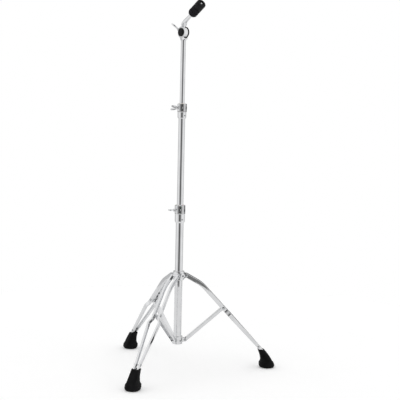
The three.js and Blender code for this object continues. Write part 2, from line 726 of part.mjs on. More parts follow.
// The yoke: two round cheeks on a bridge, with the stem that sits in the top tube
function yokeGeometry() {
  const cheek = (radius, from) => {
    const disc = moved(alongY(rodAlong(radius, 0, tilter.cheekThickness, roundSides)), 0, from, 0);
    const leg = boxBetween(
      [-tilter.stemNeck, from, -bridgeDrop], [tilter.stemNeck, from + tilter.cheekThickness, 0],
    );
    return joined(disc, leg);
  };
  const bridge = boxBetween(
    [-tilter.stemNeck, nearCheek, -bridgeDrop],
    [tilter.stemNeck, farFace, tilter.bridgeThickness - bridgeDrop],
  );
  const tubeEnd = clearance - tubeDrop;
  const stemTop = tilter.bridgeThickness / 2 - bridgeDrop;
  const stemRadius = tubes.top.radius - tubes.top.wall - clearance;
  const stem = turned([
    [0, tubeEnd - tilter.stemLength], [stemRadius, tubeEnd - tilter.stemLength], [stemRadius, tubeEnd],
    [tubes.top.radius, tubeEnd], [tubes.top.radius, tubeEnd + tilter.stemCollar],
    [tilter.stemNeck, stemTop], [0, stemTop],
  ]);
  const axle = alongY(drill(tilter.axleRadius, nearCheek - overrun, farFace + overrun, roundSides));
  return cut(
    joined(cheek(tilter.cheekRadius, nearCheek), cheek(tilter.farCheekRadius, farCheek), bridge, stem), axle,
  );
}

// The drum between the cheeks, with an axle end through each cheek
function drumGeometry() {
  const [low, high] = [-ringHalf, farDisc + tilter.discThickness];
  return alongY(turned([
    [0, nearCheek], [tilter.axleRadius, nearCheek], [tilter.axleRadius, low], [tilter.drumRadius, low],
    [tilter.drumRadius, high], [tilter.axleRadius, high], [tilter.axleRadius, farFace], [0, farFace],
  ]));
}

// The friction liner: a sleeve on the drum, inside the arm's ring
function linerGeometry() {
  return alongY(ring(frictionRadius, frictionBore, -ringHalf, ringHalf));
}

// The friction disc: a broad washer between the arm's ring and the far cheek
function frictionDiscGeometry() {
  return alongY(ring(discRadius, frictionBore, farDisc, farDisc + tilter.discThickness));
}

// The black cap on the near cheek
function endCapGeometry() {
  const { capRadius, capThickness, capEdge } = tilter;
  const cap = alongY(turned([
    [0, -capThickness], [capRadius - capEdge, -capThickness], [capRadius, capEdge - capThickness],
    [capRadius, 0], [0, 0],
  ]));
  return moved(cap, 0, nearCheek - clearance, 0);
}

// The arm in its own frame: the drum's axis is Y through the origin, and the rod points up
function armGeometry() {
  const eye = alongY(ring(eyeRadius, eyeBore, -ringHalf, ringHalf, tilter.ringEdge));
  const rootTurn = Math.PI - Math.asin(tilter.neckRoot / eyeRadius);
  const rootReach = (eyeBore + eyeRadius) / 2;
  const root = new THREE.Vector3(rootReach * Math.cos(rootTurn), 0, rootReach * Math.sin(rootTurn));
  const bend = new THREE.Vector3(-tilter.rodOffset, 0, root.z + tilter.rodOffset - rootReach);
  const rise = new THREE.Vector3(-tilter.rodOffset, 0, tilter.neckRise);
  const neckCurve = new THREE.QuadraticBezierCurve3(root, bend, rise);
  const steps = 6;
  const sides = 16;
  const section = [];
  for (let i = 0; i < sides; i += 1) {
    section.push(new THREE.Vector2(Math.cos(2 * Math.PI * i / sides), Math.sin(2 * Math.PI * i / sides)));
  }
  const circle = (place, run, radius) => section.map((corner) => new THREE.Vector3(
    place.x - run.z * radius * corner.x, radius * corner.y, place.z + run.x * radius * corner.x,
  ));
  const rings = [];
  for (let i = 0; i <= steps; i += 1) {
    const share = i / steps;
    rings.push(circle(neckCurve.getPoint(share), neckCurve.getTangent(share), ringHalf));
  }
  const tip = new THREE.Vector3(-tilter.rodOffset, 0, tilter.neckTip);
  rings.push(circle(tip, up, tilter.neckTipRadius));
  const neck = lofted(rings, section);
  const boss = alongX(rodAlong(ringHalf - tilter.bossInset, eyeBore + clearance, bossReach, roundSides));
  const screwHole = alongX(drill(wing.boltRadius, 0, bossReach + overrun));
  const rodHole = drill(rod.radius, tilter.neckTip - rod.socket, tilter.neckTip + overrun);
  const drumBore = alongY(rodAlong(eyeBore, -ringHalf - overrun, ringHalf + overrun, roundSides));
  return cut(
    joined(eye, neck, atScrewLean(boss)), drumBore, atScrewLean(screwHole),
    moved(rodHole, -tilter.rodOffset, 0, 0),
  );
}

// From +X to the direction of the tilter's screw, in the arm's frame
function atScrewLean(geometry) {
  return geometry.rotateY(-radians(tilter.screwLean + tilter.restTilt));
}

function tilterScrewGeometry() {
  const seatReach = bossReach + clearance;
  const tipReach = eyeBore + clearance;
  const bolt = wingBolt(seatReach - tipReach, tilter.screwTwist);
  return atScrewLean(moved(alongX(bolt), seatReach, 0, 0));
}

// The rod and what it carries, on the rod's own axis; the seat is at the neck's tip
const seat = tilter.neckTip + clearance;
const sleeveBottom = seat + seatWasher.height + clearance;
const lowerFeltBottom = sleeveBottom + rodSleeve.flangeHeight + clearance;
const upperFeltBottom = lowerFeltBottom + felt.height + clearance;
const nutBottom = upperFeltBottom + felt.height + clearance;
const nutTop = nutBottom + wingNut.height;
const sleeveTop = nutBottom + rodSleeve.intoNut;

function rodGeometry() {
  const bottom = tilter.neckTip - rod.socket + clearance;
  const top = nutTop + rod.beyondNut;
  return turned([
    [0, bottom], [rod.radius, bottom], [rod.radius, top - rod.edge], [rod.radius - rod.edge, top], [0, top],
  ], smallSides);
}

function washerGeometry() {
  const bore = rod.radius + clearance;
  return turned([
    [bore, seat], [seatWasher.radius - seatWasher.dish, seat], [seatWasher.radius, seat + seatWasher.dish],
    [seatWasher.radius, seat + seatWasher.height], [bore, seat + seatWasher.height], [bore, seat],
  ]);
}

function sleeveGeometry() {
  const bore = rod.radius + clearance;
  const outer = bore + rodSleeve.wall;
  const lip = sleeveBottom + rodSleeve.flangeHeight;
  return turned([
    [bore, sleeveBottom], [rodSleeve.flangeRadius, sleeveBottom], [rodSleeve.flangeRadius, lip], [outer, lip],
    [outer, sleeveTop], [bore, sleeveTop], [bore, sleeveBottom],
  ], smallSides);
}

// A felt washer with rounded rims
function feltGeometry(bottom) {
  const bore = rod.radius + 2 * clearance + rodSleeve.wall;
  const profile = [[bore, bottom]];
  for (const turn of [0, 45, 90]) {
    const [out, rise] = [Math.sin(radians(turn)), 1 - Math.cos(radians(turn))];
    profile.push([felt.radius - felt.round * (1 - out), bottom + felt.round * rise]);
  }
  for (const turn of [90, 45, 0]) {
    const [out, rise] = [Math.sin(radians(turn)), 1 - Math.cos(radians(turn))];
    profile.push([felt.radius - felt.round * (1 - out), bottom + felt.height - felt.round * rise]);
  }
  profile.push([bore, bottom + felt.height], [bore, bottom]);
  return turned(profile);
}

// The quick-release nut: a crowned body with two thick ears that stand above it
function wingNutGeometry() {
  const rim = nutTop - wingNut.crown;
  const body = turned([
    [0, nutBottom], [wingNut.radius - wingNut.round, nutBottom], [wingNut.radius, nutBottom + wingNut.round],
    [wingNut.radius, rim], [wingNut.radius - wingNut.crown, nutTop], [0, nutTop],
  ]);
  const ears = new THREE.Shape();
  const [span, tip, waist] = [wingNut.earSpan, nutTop + wingNut.earRise, nutBottom + wingNut.height / 2];
  const round = wingNut.earThickness / 2;
  ears.moveTo(-wingNut.radius + wingNut.round, nutBottom + wingNut.round);
  ears.quadraticCurveTo(-span, waist, -span, tip - round);
  ears.quadraticCurveTo(-span, tip, -span + round, tip);
  ears.quadraticCurveTo(-span + 2 * round, tip, -wingNut.radius / 2, rim);
  ears.lineTo(wingNut.radius / 2, rim);
  ears.quadraticCurveTo(span - 2 * round, tip, span - round, tip);
  ears.quadraticCurveTo(span, tip, span, tip - round);
  ears.quadraticCurveTo(span, waist, wingNut.radius - wingNut.round, nutBottom + wingNut.round);
  const sleeveClear = rod.radius + 2 * clearance + rodSleeve.wall;
  return cut(
    joined(body, plate(ears, wingNut.earThickness, wingNut.round / 2)),
    drill(rod.radius + wingNut.threadGap, nutBottom - overrun, tip + overrun),
    rodAlong(sleeveClear, nutBottom - overrun, sleeveTop + clearance, roundSides),
  );
}

function tilterPieces() {
  const fixed = new THREE.Group();
  fixed.position.z = tubes.top.top + tubeDrop;
  fixed.rotation.z = radians(tilter.leanAzimuth);
  fixed.add(
    piece('tilter_yoke', yokeGeometry(), chrome()),
    piece('tilter_drum', drumGeometry(), zincSteel()),
    piece('tilter_friction_liner', linerGeometry(), blackNylon()),
    piece('tilter_friction_disc', frictionDiscGeometry(), blackNylon()),
    piece('tilter_end_cap', endCapGeometry(), blackNylon()),
  );
  const arm = new THREE.Group();
  arm.rotation.y = radians(tilter.restTilt);
  const carried = new THREE.Group();
  carried.position.x = -tilter.rodOffset;
  carried.add(
    piece('cymbal_rod', rodGeometry(), zincSteel()),
    piece('seat_washer', washerGeometry(), chrome()),
    piece('rod_sleeve', sleeveGeometry(), blackNylon()),
    piece('lower_felt', feltGeometry(lowerFeltBottom), blackFelt()),
    piece('upper_felt', feltGeometry(upperFeltBottom), blackFelt()),
    piece('quick_release_nut', wingNutGeometry(), blackNylon()),
  );
  arm.add(
    piece('tilter_arm', armGeometry(), chrome()),
    piece('tilter_wing_screw', tilterScrewGeometry(), chrome()),
    carried,
  );
  fixed.add(arm);
  return fixed;
}

function cymbalStand() {
  const stand = new THREE.Group();
  stand.add(
    tubePiece('base_tube', tubes.base),
    tubePiece('middle_tube', tubes.middle),
    tubePiece('top_tube', tubes.top),
  );
  stand.add(...lowerHubPieces(), ...upperHubPieces());
  for (let i = 0; i < legCount; i += 1) {
    const turnedLeg = leg(i + 1);
    turnedLeg.rotation.z = 2 * Math.PI * i / legCount;
    stand.add(turnedLeg);
  }
  stand.add(
    clampPieces('lower_clamp', fitted(lowerClamp, tubes.base, tubes.middle)),
    clampPieces('upper_clamp', fitted(upperClamp, tubes.middle, tubes.top)),
    tilterPieces(),
  );
  return stand;
}

// The part stands on the floor at the middle of its own box
const part = new THREE.Group();
const stand = cymbalStand();
part.add(stand);
part.updateMatrixWorld(true);
const box = new THREE.Box3().setFromObject(stand, true);
const middle = box.getCenter(new THREE.Vector3());
stand.position.set(-middle.x, -middle.y, -box.min.z);
part.updateMatrixWorld(true);

export default part;
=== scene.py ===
# The looks of the cymbal stand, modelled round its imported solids. Blender 4.5, metres.
# Every visible piece is rebuilt here, smooth and with small detail, on the body that
# carries its solid. +Z is up, and leg 1 points along +X.

import json
from math import asin, atan2, copysign, cos, degrees, hypot, pi, radians, sin
from types import SimpleNamespace

import bmesh
import bpy
from mathutils import Matrix, Vector, noise


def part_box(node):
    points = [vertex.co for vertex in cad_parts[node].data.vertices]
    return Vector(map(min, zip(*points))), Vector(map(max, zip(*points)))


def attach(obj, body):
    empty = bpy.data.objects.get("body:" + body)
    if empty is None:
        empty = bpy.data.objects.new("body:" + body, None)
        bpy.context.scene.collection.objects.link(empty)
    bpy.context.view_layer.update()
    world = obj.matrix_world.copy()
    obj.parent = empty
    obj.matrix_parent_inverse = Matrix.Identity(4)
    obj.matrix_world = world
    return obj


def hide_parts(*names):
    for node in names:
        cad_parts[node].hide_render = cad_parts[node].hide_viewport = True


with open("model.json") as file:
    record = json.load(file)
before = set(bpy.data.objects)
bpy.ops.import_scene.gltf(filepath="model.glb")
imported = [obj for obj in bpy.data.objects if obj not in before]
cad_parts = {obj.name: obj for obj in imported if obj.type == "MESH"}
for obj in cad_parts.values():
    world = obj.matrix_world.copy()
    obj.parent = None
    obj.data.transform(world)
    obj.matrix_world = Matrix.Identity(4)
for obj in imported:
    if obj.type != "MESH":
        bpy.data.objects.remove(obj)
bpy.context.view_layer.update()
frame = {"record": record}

MM = 0.001
# Sides of what is round
FINE = 96
MEDIUM = 48
SMALL = 32
HEX = 6
OVERRUN = 2 * MM
# Between two pieces that don't touch
GAP = 0.3 * MM
# Keeps faces that are cut or joined at one height out of one plane
SEAM = GAP / 3
# Points nearer than this become one
WELD = 0.002 * MM
# Edges that turn by more degrees than this stay sharp
SHARP = 35

body_of_node = {
    node: body for body, nodes in frame["record"]["behaviour"]["bodies"].items() for node in nodes
}
base_low, base_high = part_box("base_tube")
AXIS_X = (base_low[0] + base_high[0]) / 2
TO_AXIS = Matrix.Translation((AXIS_X, 0, 0))


# Mesh building


def new_object(name, mesh):
    obj = bpy.data.objects.new(name, mesh)
    bpy.context.scene.collection.objects.link(obj)
    return obj


def smooth(mesh, sharp=SHARP):
    mesh.shade_smooth()
    mesh.set_sharp_from_angle(angle=radians(sharp))


def mesh_from(points, faces, sharp):
    """An object with its faces turned outward."""
    mesh = bpy.data.meshes.new("work")
    mesh.from_pydata(points, [], faces)
    mesh.validate()
    mesh.update()
    smooth(mesh, sharp)
    work = bmesh.new()
    work.from_mesh(mesh)
    bmesh.ops.recalc_face_normals(work, faces=work.faces)
    work.to_mesh(mesh)
    work.free()
    return new_object("work", mesh)


def arc(centre_x, centre_y, radius, start, end, steps):
    """Points on an arc, angles in degrees."""
    turns = [radians(start + (end - start) * i / steps) for i in range(steps + 1)]
    return [(centre_x + radius * cos(t), centre_y + radius * sin(t)) for t in turns]


def circle(sides):
    return arc(0, 0, 1, 0, 360, sides)[:-1]


def turned(profile, sides=FINE, sharp=SHARP):
    """A body of revolution about Z from (radius, height) corners.

    The profile starts and ends on the axis, or else it closes on itself."""
    outline = circle(sides)
    points, rows = [], []
    for radius, height in profile:
        count = sides if radius else 1
        rows.append([len(points) + i % count for i in range(sides)])
        points += [(radius * x, radius * y, height) for x, y in outline[:count]]
    pairs = list(zip(rows, rows[1:]))
    if profile[0][0] > 0:
        pairs.append((rows[-1], rows[0]))
    faces = []
    for low, high in pairs:
        for i in range(sides):
            j = (i + 1) % sides
            face = tuple(dict.fromkeys((low[i], low[j], high[j], high[i])))
            if len(face) > 2:
                faces.append(face)
    return mesh_from(points, faces, sharp)


def lofted(rings, sharp=SHARP):
    """A body through rings of points, closed at both ends by flat faces."""
    count = len(rings[0])
    points = [p for ring in rings for p in ring]
    faces = []
    for i in range(len(rings) - 1):
        for j in range(count):
            a, b = i * count + j, i * count + (j + 1) % count
            faces.append((a, b, b + count, a + count))
    faces += [tuple(range(count)), tuple(range(len(points) - count, len(points)))]
    return mesh_from(points, faces, sharp)


def plate(outline, width):
    """An outline in the XZ plane, extruded along Y about its middle."""
    return lofted([[(x, side * width / 2, z) for x, z in outline] for side in (-1, 1)])


def slab(outline, low, high):
    """An outline in the XY plane, extruded from one height to another."""
    return lofted([[(x, y, z) for x, y in outline] for z in (low, high)])


def block(low, high):
    return slab([low[:2], (high[0], low[1]), high[:2], (low[0], high[1])], low[2], high[2])


def discard(obj):
    mesh = obj.data
    bpy.data.objects.remove(obj)
    bpy.data.meshes.remove(mesh)


def place(obj, matrix):
    obj.data.transform(matrix)
    return obj


def applied(obj):
    """The object with its modifiers applied to its mesh."""
    graph = bpy.context.evaluated_depsgraph_get()
    mesh, old = bpy.data.meshes.new_from_object(obj.evaluated_get(graph)), obj.data
    obj.modifiers.clear()
    obj.data = mesh
    bpy.data.meshes.remove(old)
    return obj


def flat_faced(obj):
    """Broad faces keep their own normals, so that flat metal mirrors as flat."""
    obj.modifiers.new("normals", "WEIGHTED_NORMAL").keep_sharp = True
    return applied(obj)


def combine(obj, others, operation):
    for other in others:
        step = obj.modifiers.new(operation, "BOOLEAN")
        step.operation = operation
        step.solver = "EXACT"
        step.object = other
        applied(obj)
        discard(other)
    return obj


def joined(obj, *others):
    return combine(obj, others, "UNION")


def cut(obj, *cutters):
    return combine(obj, cutters, "DIFFERENCE")


def eased(obj, width, segments=3, angle=32):
    """Rounds the edges that are sharper than the angle."""
    work = bmesh.new()
    work.from_mesh(obj.data)
    bmesh.ops.remove_doubles(work, verts=work.verts, dist=WELD)
    bmesh.ops.dissolve_degenerate(work, edges=work.edges, dist=WELD)
    work.to_mesh(obj.data)
    work.free()
    step = obj.modifiers.new("ease", "BEVEL")
    step.width = width
    step.segments = segments
    step.limit_method = "ANGLE"
    step.angle_limit = radians(angle)
    step.use_clamp_overlap = True
    applied(obj)
    smooth(obj.data)
    return obj


ALONG_Y = Matrix.Rotation(-pi / 2, 4, "X")
ALONG_X = Matrix.Rotation(pi / 2, 4, "Y")


def turn_z(angle):
    return Matrix.Rotation(radians(angle), 4, "Z")


def turn_y(angle):
    return Matrix.Rotation(radians(angle), 4, "Y")


def shift(x, y, z):
    return Matrix.Translation((x, y, z))


def across(at):
    """From along Z to along Y, at a place in the XZ plane."""
    return shift(at.x, 0, at.y) @ ALONG_Y


def peg(radius, low, high, at=Matrix(), sides=MEDIUM):
    """A plain round solid along the Z of its place, used as a drill."""
    return place(turned([(0, low), (radius, low), (radius, high), (0, high)], sides), at)


def bore(radius, length, at, sides=MEDIUM):
    return peg(radius, -length, length, at, sides)


# Sizes, written in millimetres and kept in metres


def sizes(**values):
    return SimpleNamespace(**{name: value * MM for name, value in values.items()})


def tube_sizes(node, **values):
    """A tube's sizes, its ends at the heights that its solid has."""
    size = sizes(**values)
    low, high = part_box(node)
    size.bottom, size.top = low[2], high[2]
    return size


base_tube = tube_sizes("base_tube", radius=15, wall=1.5)
middle_tube = tube_sizes("middle_tube", radius=12.7, wall=1.4)
top_tube = tube_sizes("top_tube", radius=9.5, wall=1.4)

linkage = sizes(pivot_radius=30, length=192)
SPREAD = radians(41)
strip = sizes(
    depth=15.5, thickness=7, gauge=1.8, corner=1.5, spacing=25,
    knee_reach=68, knee_round=20, jog_start=12, jog_length=24,
    wide_spacing=43, end_spacing=17, end_depth=12, brace_to_end=240, taper_length=34, foot_bolt_from_end=32,
)
KNEE_RISE = radians(11.5)
stay = sizes(width=17, depth=12.4, gauge=1.6, web_relief=11, corner=1.3)
pin = sizes(hub_radius=3, brace_radius=3.5, head_width=2.4, head_height=2)
foot_bolt = sizes(radius=2.5, head_width=2.2, head_height=2.3)

lower_hub = sizes(ring_wall=4.2, height=30, pivot_rise=16, lug_width=13, lug_round=6.4, lug_rise=9, edge=1.2)
upper_hub = sizes(
    liner_wall=1.8, liner_lip=1.6, ring_wall=4.4, below=17, above=16, lug_width=17, lug_round=7, lug_rise=12,
    edge=1.4, boss_radius=9.5, boss_reach=29,
)
hub_lock_screw = sizes(radius=4, socket_radius=2.2, socket_depth=5)
BOSS_AZIMUTH = -60
hub_set_screw = sizes(radius=3, socket_radius=1.6, socket_depth=2, rise=14)
foot = sizes(length=61, width=57, height=72, wall=3.7)

lower_clamp = sizes(
    outer=15, inner=12.7, sleeve_wall=4.3, sleeve_length=35, sleeve_taper=6,
    collar_wall=4.6, collar_gap=1.3, collar_height=32, ear_reach=32, ear_width=36, bolt_reach=24.5,
    bolt_height=15, slit=2.2, under_cut=1.6, nut_width=14, nut_depth=5, screw_drop=22,
)
upper_clamp = sizes(
    outer=12.7, inner=9.5, sleeve_wall=3.9, sleeve_length=25, sleeve_taper=5,
    collar_wall=4.2, collar_gap=1.3, collar_height=30.5, ear_reach=28, ear_width=33, bolt_reach=21,
    bolt_height=15, slit=2.2, under_cut=1.6, nut_width=13, nut_depth=4.5, screw_drop=14,
)
lower_clamp.base, upper_clamp.base = base_tube.top, middle_tube.top
lower_clamp.screw_azimuth, upper_clamp.screw_azimuth = -67, -54
lower_clamp.wing_twist, upper_clamp.wing_twist = 95, 104
clamp_screw = sizes(radius=2.6, socket_radius=1.4, socket_depth=1.5)
bush = sizes(lip=1.6, ease=0.64)
wing = sizes(
    bolt_radius=3.9, hub_radius=6.6, hub_length=9, hub_neck=5.2, span=30, reach=27, root_reach=4,
    thickness=5, blade_round=1.5625, edge=0.5,
)

tilter = sizes(
    tube_drop=32, rod_offset=30, stem_length=34, stem_neck=6.2, stem_collar=3,
    ring_radius=18.5, ring_width=16, ring_edge=1, arm_edge=0.6, liner_wall=1.7, drum_radius=12, axle_radius=6,
    cheek_radius=21.5, far_cheek_radius=17, cheek_thickness=3.5, disc_radius=21, disc_thickness=3,
    bridge_drop=27, bridge_thickness=4.5, cap_radius=15.5, cap_thickness=3.4,
    neck_shoulder=12, neck_tip_radius=6, neck_tip=74, neck_rise=34, neck_root=7,
    boss_radius=7.5, boss_reach=29,
)
LEAN_AZIMUTH = -58
REST_TILT = 59.5
SCREW_LEAN = 160
SCREW_TWIST = 125
# The end cap's sunk face as a share of its thickness, and where the step up to its rim starts and
# ends as shares of its radius
CAP_FACE_SHARE = 0.8
CAP_RIM_SHARES = (0.7, 0.74)
# How far the neck has widened to its shoulder, at even steps from its root to its rise
NECK_SHOULDER_SHARES = (0, 0, 1, 0.85, 0.55, 0.25, 0)
NECK_STEPS = 4
NECK_SIDES = 56
rod = sizes(radius=4, socket=14, in_recess=2.5, edge=0.8, pitch=1.25, thread_depth=0.5)
washer = sizes(radius=15, height=3, dish=1)
sleeve = sizes(wall=2.2, flange_radius=11, flange_height=1.6, into_nut=2.5)
felt = sizes(radius=17.9, height=19.5, round=3.4)
nut = sizes(
    radius=17.9, height=26.2, foot=2, round=4, bore=4.4, recess_radius=9, recess_depth=4, flute_radius=4,
    flute_depth=0.9, edge=0.5,
)
THREAD_STEPS = 8
NUT_FLUTES = 8
FELT_STEPS = 34
FELT_SIDES = 160
FELT_FLUFF = 0.12 * MM
FIBRE_SCALE = 900
CLUMP_SCALE = 300


# Camera, as fitted to the photograph: its place is measured from the stand's axis

CAMERA_DISTANCE = 3617.1 * MM
CAMERA_HEIGHT = 981.4 * MM
CAMERA_AZIMUTH = -93.89
CAMERA_PAN = 0.0209
CAMERA_DIP = 0.0904
CAMERA_ROLL = 0.0221
FRAME_PIXELS = 400
FOCAL_PIXELS = 950.5


def toward(azimuth):
    turn = radians(azimuth)
    return Vector((cos(turn), sin(turn), 0))


def make_camera():
    data = bpy.data.cameras.new("camera")
    data.lens = data.sensor_width * FOCAL_PIXELS / FRAME_PIXELS
    camera = new_object("camera", data)
    at = toward(CAMERA_AZIMUTH) * CAMERA_DISTANCE + Vector((AXIS_X, 0, CAMERA_HEIGHT))
    heading = radians(CAMERA_AZIMUTH + 180) - CAMERA_PAN
    ahead = Vector((cos(heading), sin(heading), 0)) * cos(CAMERA_DIP)
    ahead.z = -sin(CAMERA_DIP)
    level = Vector((sin(heading), -cos(heading), 0))
    right = level * cos(CAMERA_ROLL) + level.cross(ahead) * sin(CAMERA_ROLL)
    above = right.cross(ahead)
    turn = Matrix((right, above, -ahead)).transposed()
    camera.matrix_world = Matrix.Translation(at) @ turn.to_4x4()
    bpy.context.scene.camera = camera


# Materials. Their patterns follow object coordinates, so they ride with each piece.


class Nodes:
    """The nodes of the world or of a material."""

    def __init__(self, owner):
        owner.use_nodes = True
        self.tree = owner.node_tree

    def feed(self, socket, source):
        if isinstance(source, bpy.types.NodeSocket):
            self.tree.links.new(source, socket)
        else:
            socket.default_value = source

    def node(self, kind, inputs=(), **settings):
        """Adds a node and gives its outputs. An input is a value or another node's output."""
        node = self.tree.nodes.new("ShaderNode" + kind)
        for key, value in settings.items():
            setattr(node, key, value)
        for socket, source in dict(inputs).items():
            self.feed(node.inputs[socket], source)
        return node.outputs

    def maths(self, operation, *sources):
        return self.node("Math", enumerate(sources), operation=operation)[0]

    def mixed(self, factor, *colours):
        """A blend of two colours, which a mix node takes at its sockets 6 and 7."""
        first, second = ((*colour, 1) if isinstance(colour, tuple) else colour for colour in colours)
        return self.node("Mix", {0: factor, 6: first, 7: second}, data_type="RGBA")[2]

    def spread(self, source, low, high, start=0.35, end=0.65, **settings):
        """Maps a range of values onto another. The range that is given is a noise's own."""
        inputs = {"Value": source, "From Min": start, "From Max": end, "To Min": low, "To Max": high}
        return self.node("MapRange", inputs, **settings)[0]


class Finish(Nodes):
    """A material in the making."""

    def __init__(self, name, **values):
        self.material = bpy.data.materials.new(name)
        super().__init__(self.material)
        self.shader = self.tree.nodes["Principled BSDF"]
        self.place = self.node("TexCoord")["Object"]
        self.shade(**values)

    def shade(self, **values):
        for socket, source in values.items():
            self.feed(self.shader.inputs[socket.replace("_", " ")], source)

    def noise(self, scale, detail, stretch=(1, 1, 1)):
        at = self.node("Mapping", {"Vector": self.place, "Scale": stretch})[0]
        return self.node("TexNoise", {"Vector": at, "Scale": scale, "Detail": detail})[0]

    def bumps(self, *layers):
        """Stacks bump layers of (height, strength, depth in millimetres)."""
        below = {}
        for height, strength, depth in layers:
            inputs = {"Height": height, "Strength": strength, "Distance": depth * MM, **below}
            below = {"Normal": self.node("Bump", inputs)[0]}
        self.shade(**below)


CHROME_TONES = (0.80, 0.805, 0.815), (0.74, 0.745, 0.755)


def finished(name, tint, tones, gloss, rough, bumps, **values):
    """A material of two mottled tones, with uneven gloss and layers of bumps.

    tint, gloss and the first item of each bump are noises, as scale, detail and stretch."""
    finish = Finish(name, **values)
    finish.shade(
        Base_Color=finish.mixed(finish.spread(finish.noise(*tint), 0, 1), *tones),
        Roughness=finish.spread(finish.noise(*gloss), *rough),
    )
    finish.bumps(*((finish.noise(*pattern), strength, depth) for pattern, strength, depth in bumps))
    return finish.material


def chrome(name, ripple, scratch_stretch):
    return finished(
        name, (28, 4), CHROME_TONES, (60, 5), (0.025, 0.06),
        (((110, 2), ripple, 0.1), ((900, 2, scratch_stretch), 0.02, 0.05)), Metallic=1,
    )


def black_felt():
    finish = Finish(
        "black_felt", Roughness=1, Sheen_Weight=0.04, Sheen_Roughness=0.5, Specular_IOR_Level=0.05,
    )
    fibres, clumps = finish.noise(1300, 4, (1, 1, 2.6)), finish.noise(260, 4)
    depth = finish.maths("MULTIPLY", finish.spread(fibres, 0.2, 1), finish.spread(clumps, 0.4, 1))
    finish.shade(Base_Color=finish.mixed(depth, (0.003, 0.003, 0.0035), (0.026, 0.024, 0.028)))
    finish.bumps((clumps, 0.5, 0.5), (fibres, 0.9, 0.25))
    return finish.material


TUBE = chrome("chrome_tube", 0.01, (1, 1, 0.05))
SHEET = chrome("chrome_sheet", 0.05, (0.2, 1, 1))
CASTING = chrome("chrome_casting", 0.09, (1, 1, 1))
ZINC = finished(
    "zinc_plated_steel", (220, 4), ((0.60, 0.61, 0.62), (0.48, 0.49, 0.50)), (400, 3), (0.2, 0.36),
    (((1500, 2), 0.08, 0.05),), Metallic=1,
)
RUBBER = finished(
    "black_rubber", (45, 5), ((0.002, 0.002, 0.002), (0.008, 0.008, 0.0085)), (90, 4), (0.46, 0.66),
    (((320, 3), 0.12, 0.3), ((2200, 2), 0.2, 0.08)), IOR=1.5, Specular_IOR_Level=0.08,
)
FELT = black_felt()
BLACK_NYLON = finished(
    "black_nylon", (70, 4), ((0.004, 0.004, 0.004), (0.009, 0.009, 0.01)), (150, 3), (0.3, 0.46),
    (((1800, 2), 0.1, 0.06),), IOR=1.53, Specular_IOR_Level=0.12,
)
PALE_NYLON = finished(
    "pale_nylon", (50, 3), ((0.76, 0.76, 0.74), (0.68, 0.68, 0.65)), (200, 3), (0.38, 0.52),
    (((1500, 2), 0.06, 0.05),), IOR=1.53, Subsurface_Weight=0.1, Subsurface_Scale=2 * MM,
)


def dressed(obj, matrix, node, finish):
    """The piece in its place stands for its node, on the body that carries the node."""
    flat_faced(place(obj, matrix)).name = node + ".look"
    obj.data.name = obj.name
    obj.data.materials.clear()
    obj.data.materials.append(finish)
    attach(obj, body_of_node[node])
    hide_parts(node)
    return obj


# Studio: a round pale floor, and a world that is white but for a dark side behind the camera,
# whose reflection draws the dark line down the middle of each tube

FLOOR_RADIUS = 1750 * MM
FLOOR_THICKNESS = 10 * MM
FLOOR_TONES = (0.9, 0.9, 0.9), (0.88, 0.88, 0.88)
# Angle from the camera's side, as a share of half a turn, and the world's brightness there
STUDIO_SHARES = (
    (0, 0.03), (0.025, 0.06), (0.045, 0.2), (0.09, 0.17), (0.135, 0.46), (0.2, 0.76), (0.42, 1), (0.55, 0.86),
    (0.62, 0.6), (0.72, 0.7), (0.9, 0.8), (1, 0.35),
)
OVERHEAD = 0.96
# How high a reflection has to point for that share of the overhead light to begin, and to be whole
OVERHEAD_RISE = (0.5, 0.92)
CAMERA_FILL = 0.16
WORLD_LEVEL = 0.95


def make_world():
    world = bpy.data.worlds.new("studio")
    bpy.context.scene.world = world
    nodes = Nodes(world)
    maths = nodes.maths
    ray = nodes.node("LightPath")
    x, y, z = nodes.node("SeparateXYZ", {"Vector": nodes.node("TexCoord")["Generated"]})
    side = toward(CAMERA_AZIMUTH)
    along = maths("ADD", maths("MULTIPLY", x, side.x), maths("MULTIPLY", y, side.y))
    flat = maths("SQRT", maths("ADD", maths("MULTIPLY", x, x), maths("MULTIPLY", y, y)))
    turn = maths("DIVIDE", maths("ARCCOSINE", maths("DIVIDE", along, flat)), pi)
    ramp = nodes.tree.nodes.new("ShaderNodeValToRGB")
    ramp.color_ramp.interpolation = "EASE"
    stops = ramp.color_ramp.elements
    while len(stops) < len(STUDIO_SHARES):
        stops.new(0.5)
    for stop, (position, level) in zip(stops, STUDIO_SHARES):
        stop.position = position
        stop.color = (level, level, level, 1)
    nodes.feed(ramp.inputs["Fac"], turn)
    rise = nodes.spread(z, 0, 1, *OVERHEAD_RISE, interpolation_type="SMOOTHSTEP")
    studio = nodes.mixed(rise, ramp.outputs["Color"], (OVERHEAD,) * 3)
    plain = nodes.mixed(ray["Is Camera Ray"], (WORLD_LEVEL,) * 3, (1, 1, 1))
    seen = nodes.mixed(ray["Is Glossy Ray"], plain, studio)
    nodes.feed(nodes.tree.nodes["Background"].inputs["Color"], seen)


def make_floor():
    floor = slab(arc(AXIS_X, 0, FLOOR_RADIUS, 0, 360, steps=180)[:-1], -FLOOR_THICKNESS, 0)
    finish = Finish("floor", Roughness=0.9, Specular_IOR_Level=0)
    finish.shade(Base_Color=finish.mixed(finish.noise(3, 2), *FLOOR_TONES))
    fill = finish.maths("MULTIPLY", finish.node("LightPath")["Is Camera Ray"], CAMERA_FILL)
    glow = finish.node("Emission", {"Strength": fill})[0]
    total = finish.node("AddShader", {0: finish.shader.outputs["BSDF"], 1: glow})[0]
    finish.feed(finish.tree.nodes["Material Output"].inputs["Surface"], total)
    floor.name = "floor"
    floor.data.materials.append(finish.material)


make_camera()
make_world()
make_floor()


# Tubes


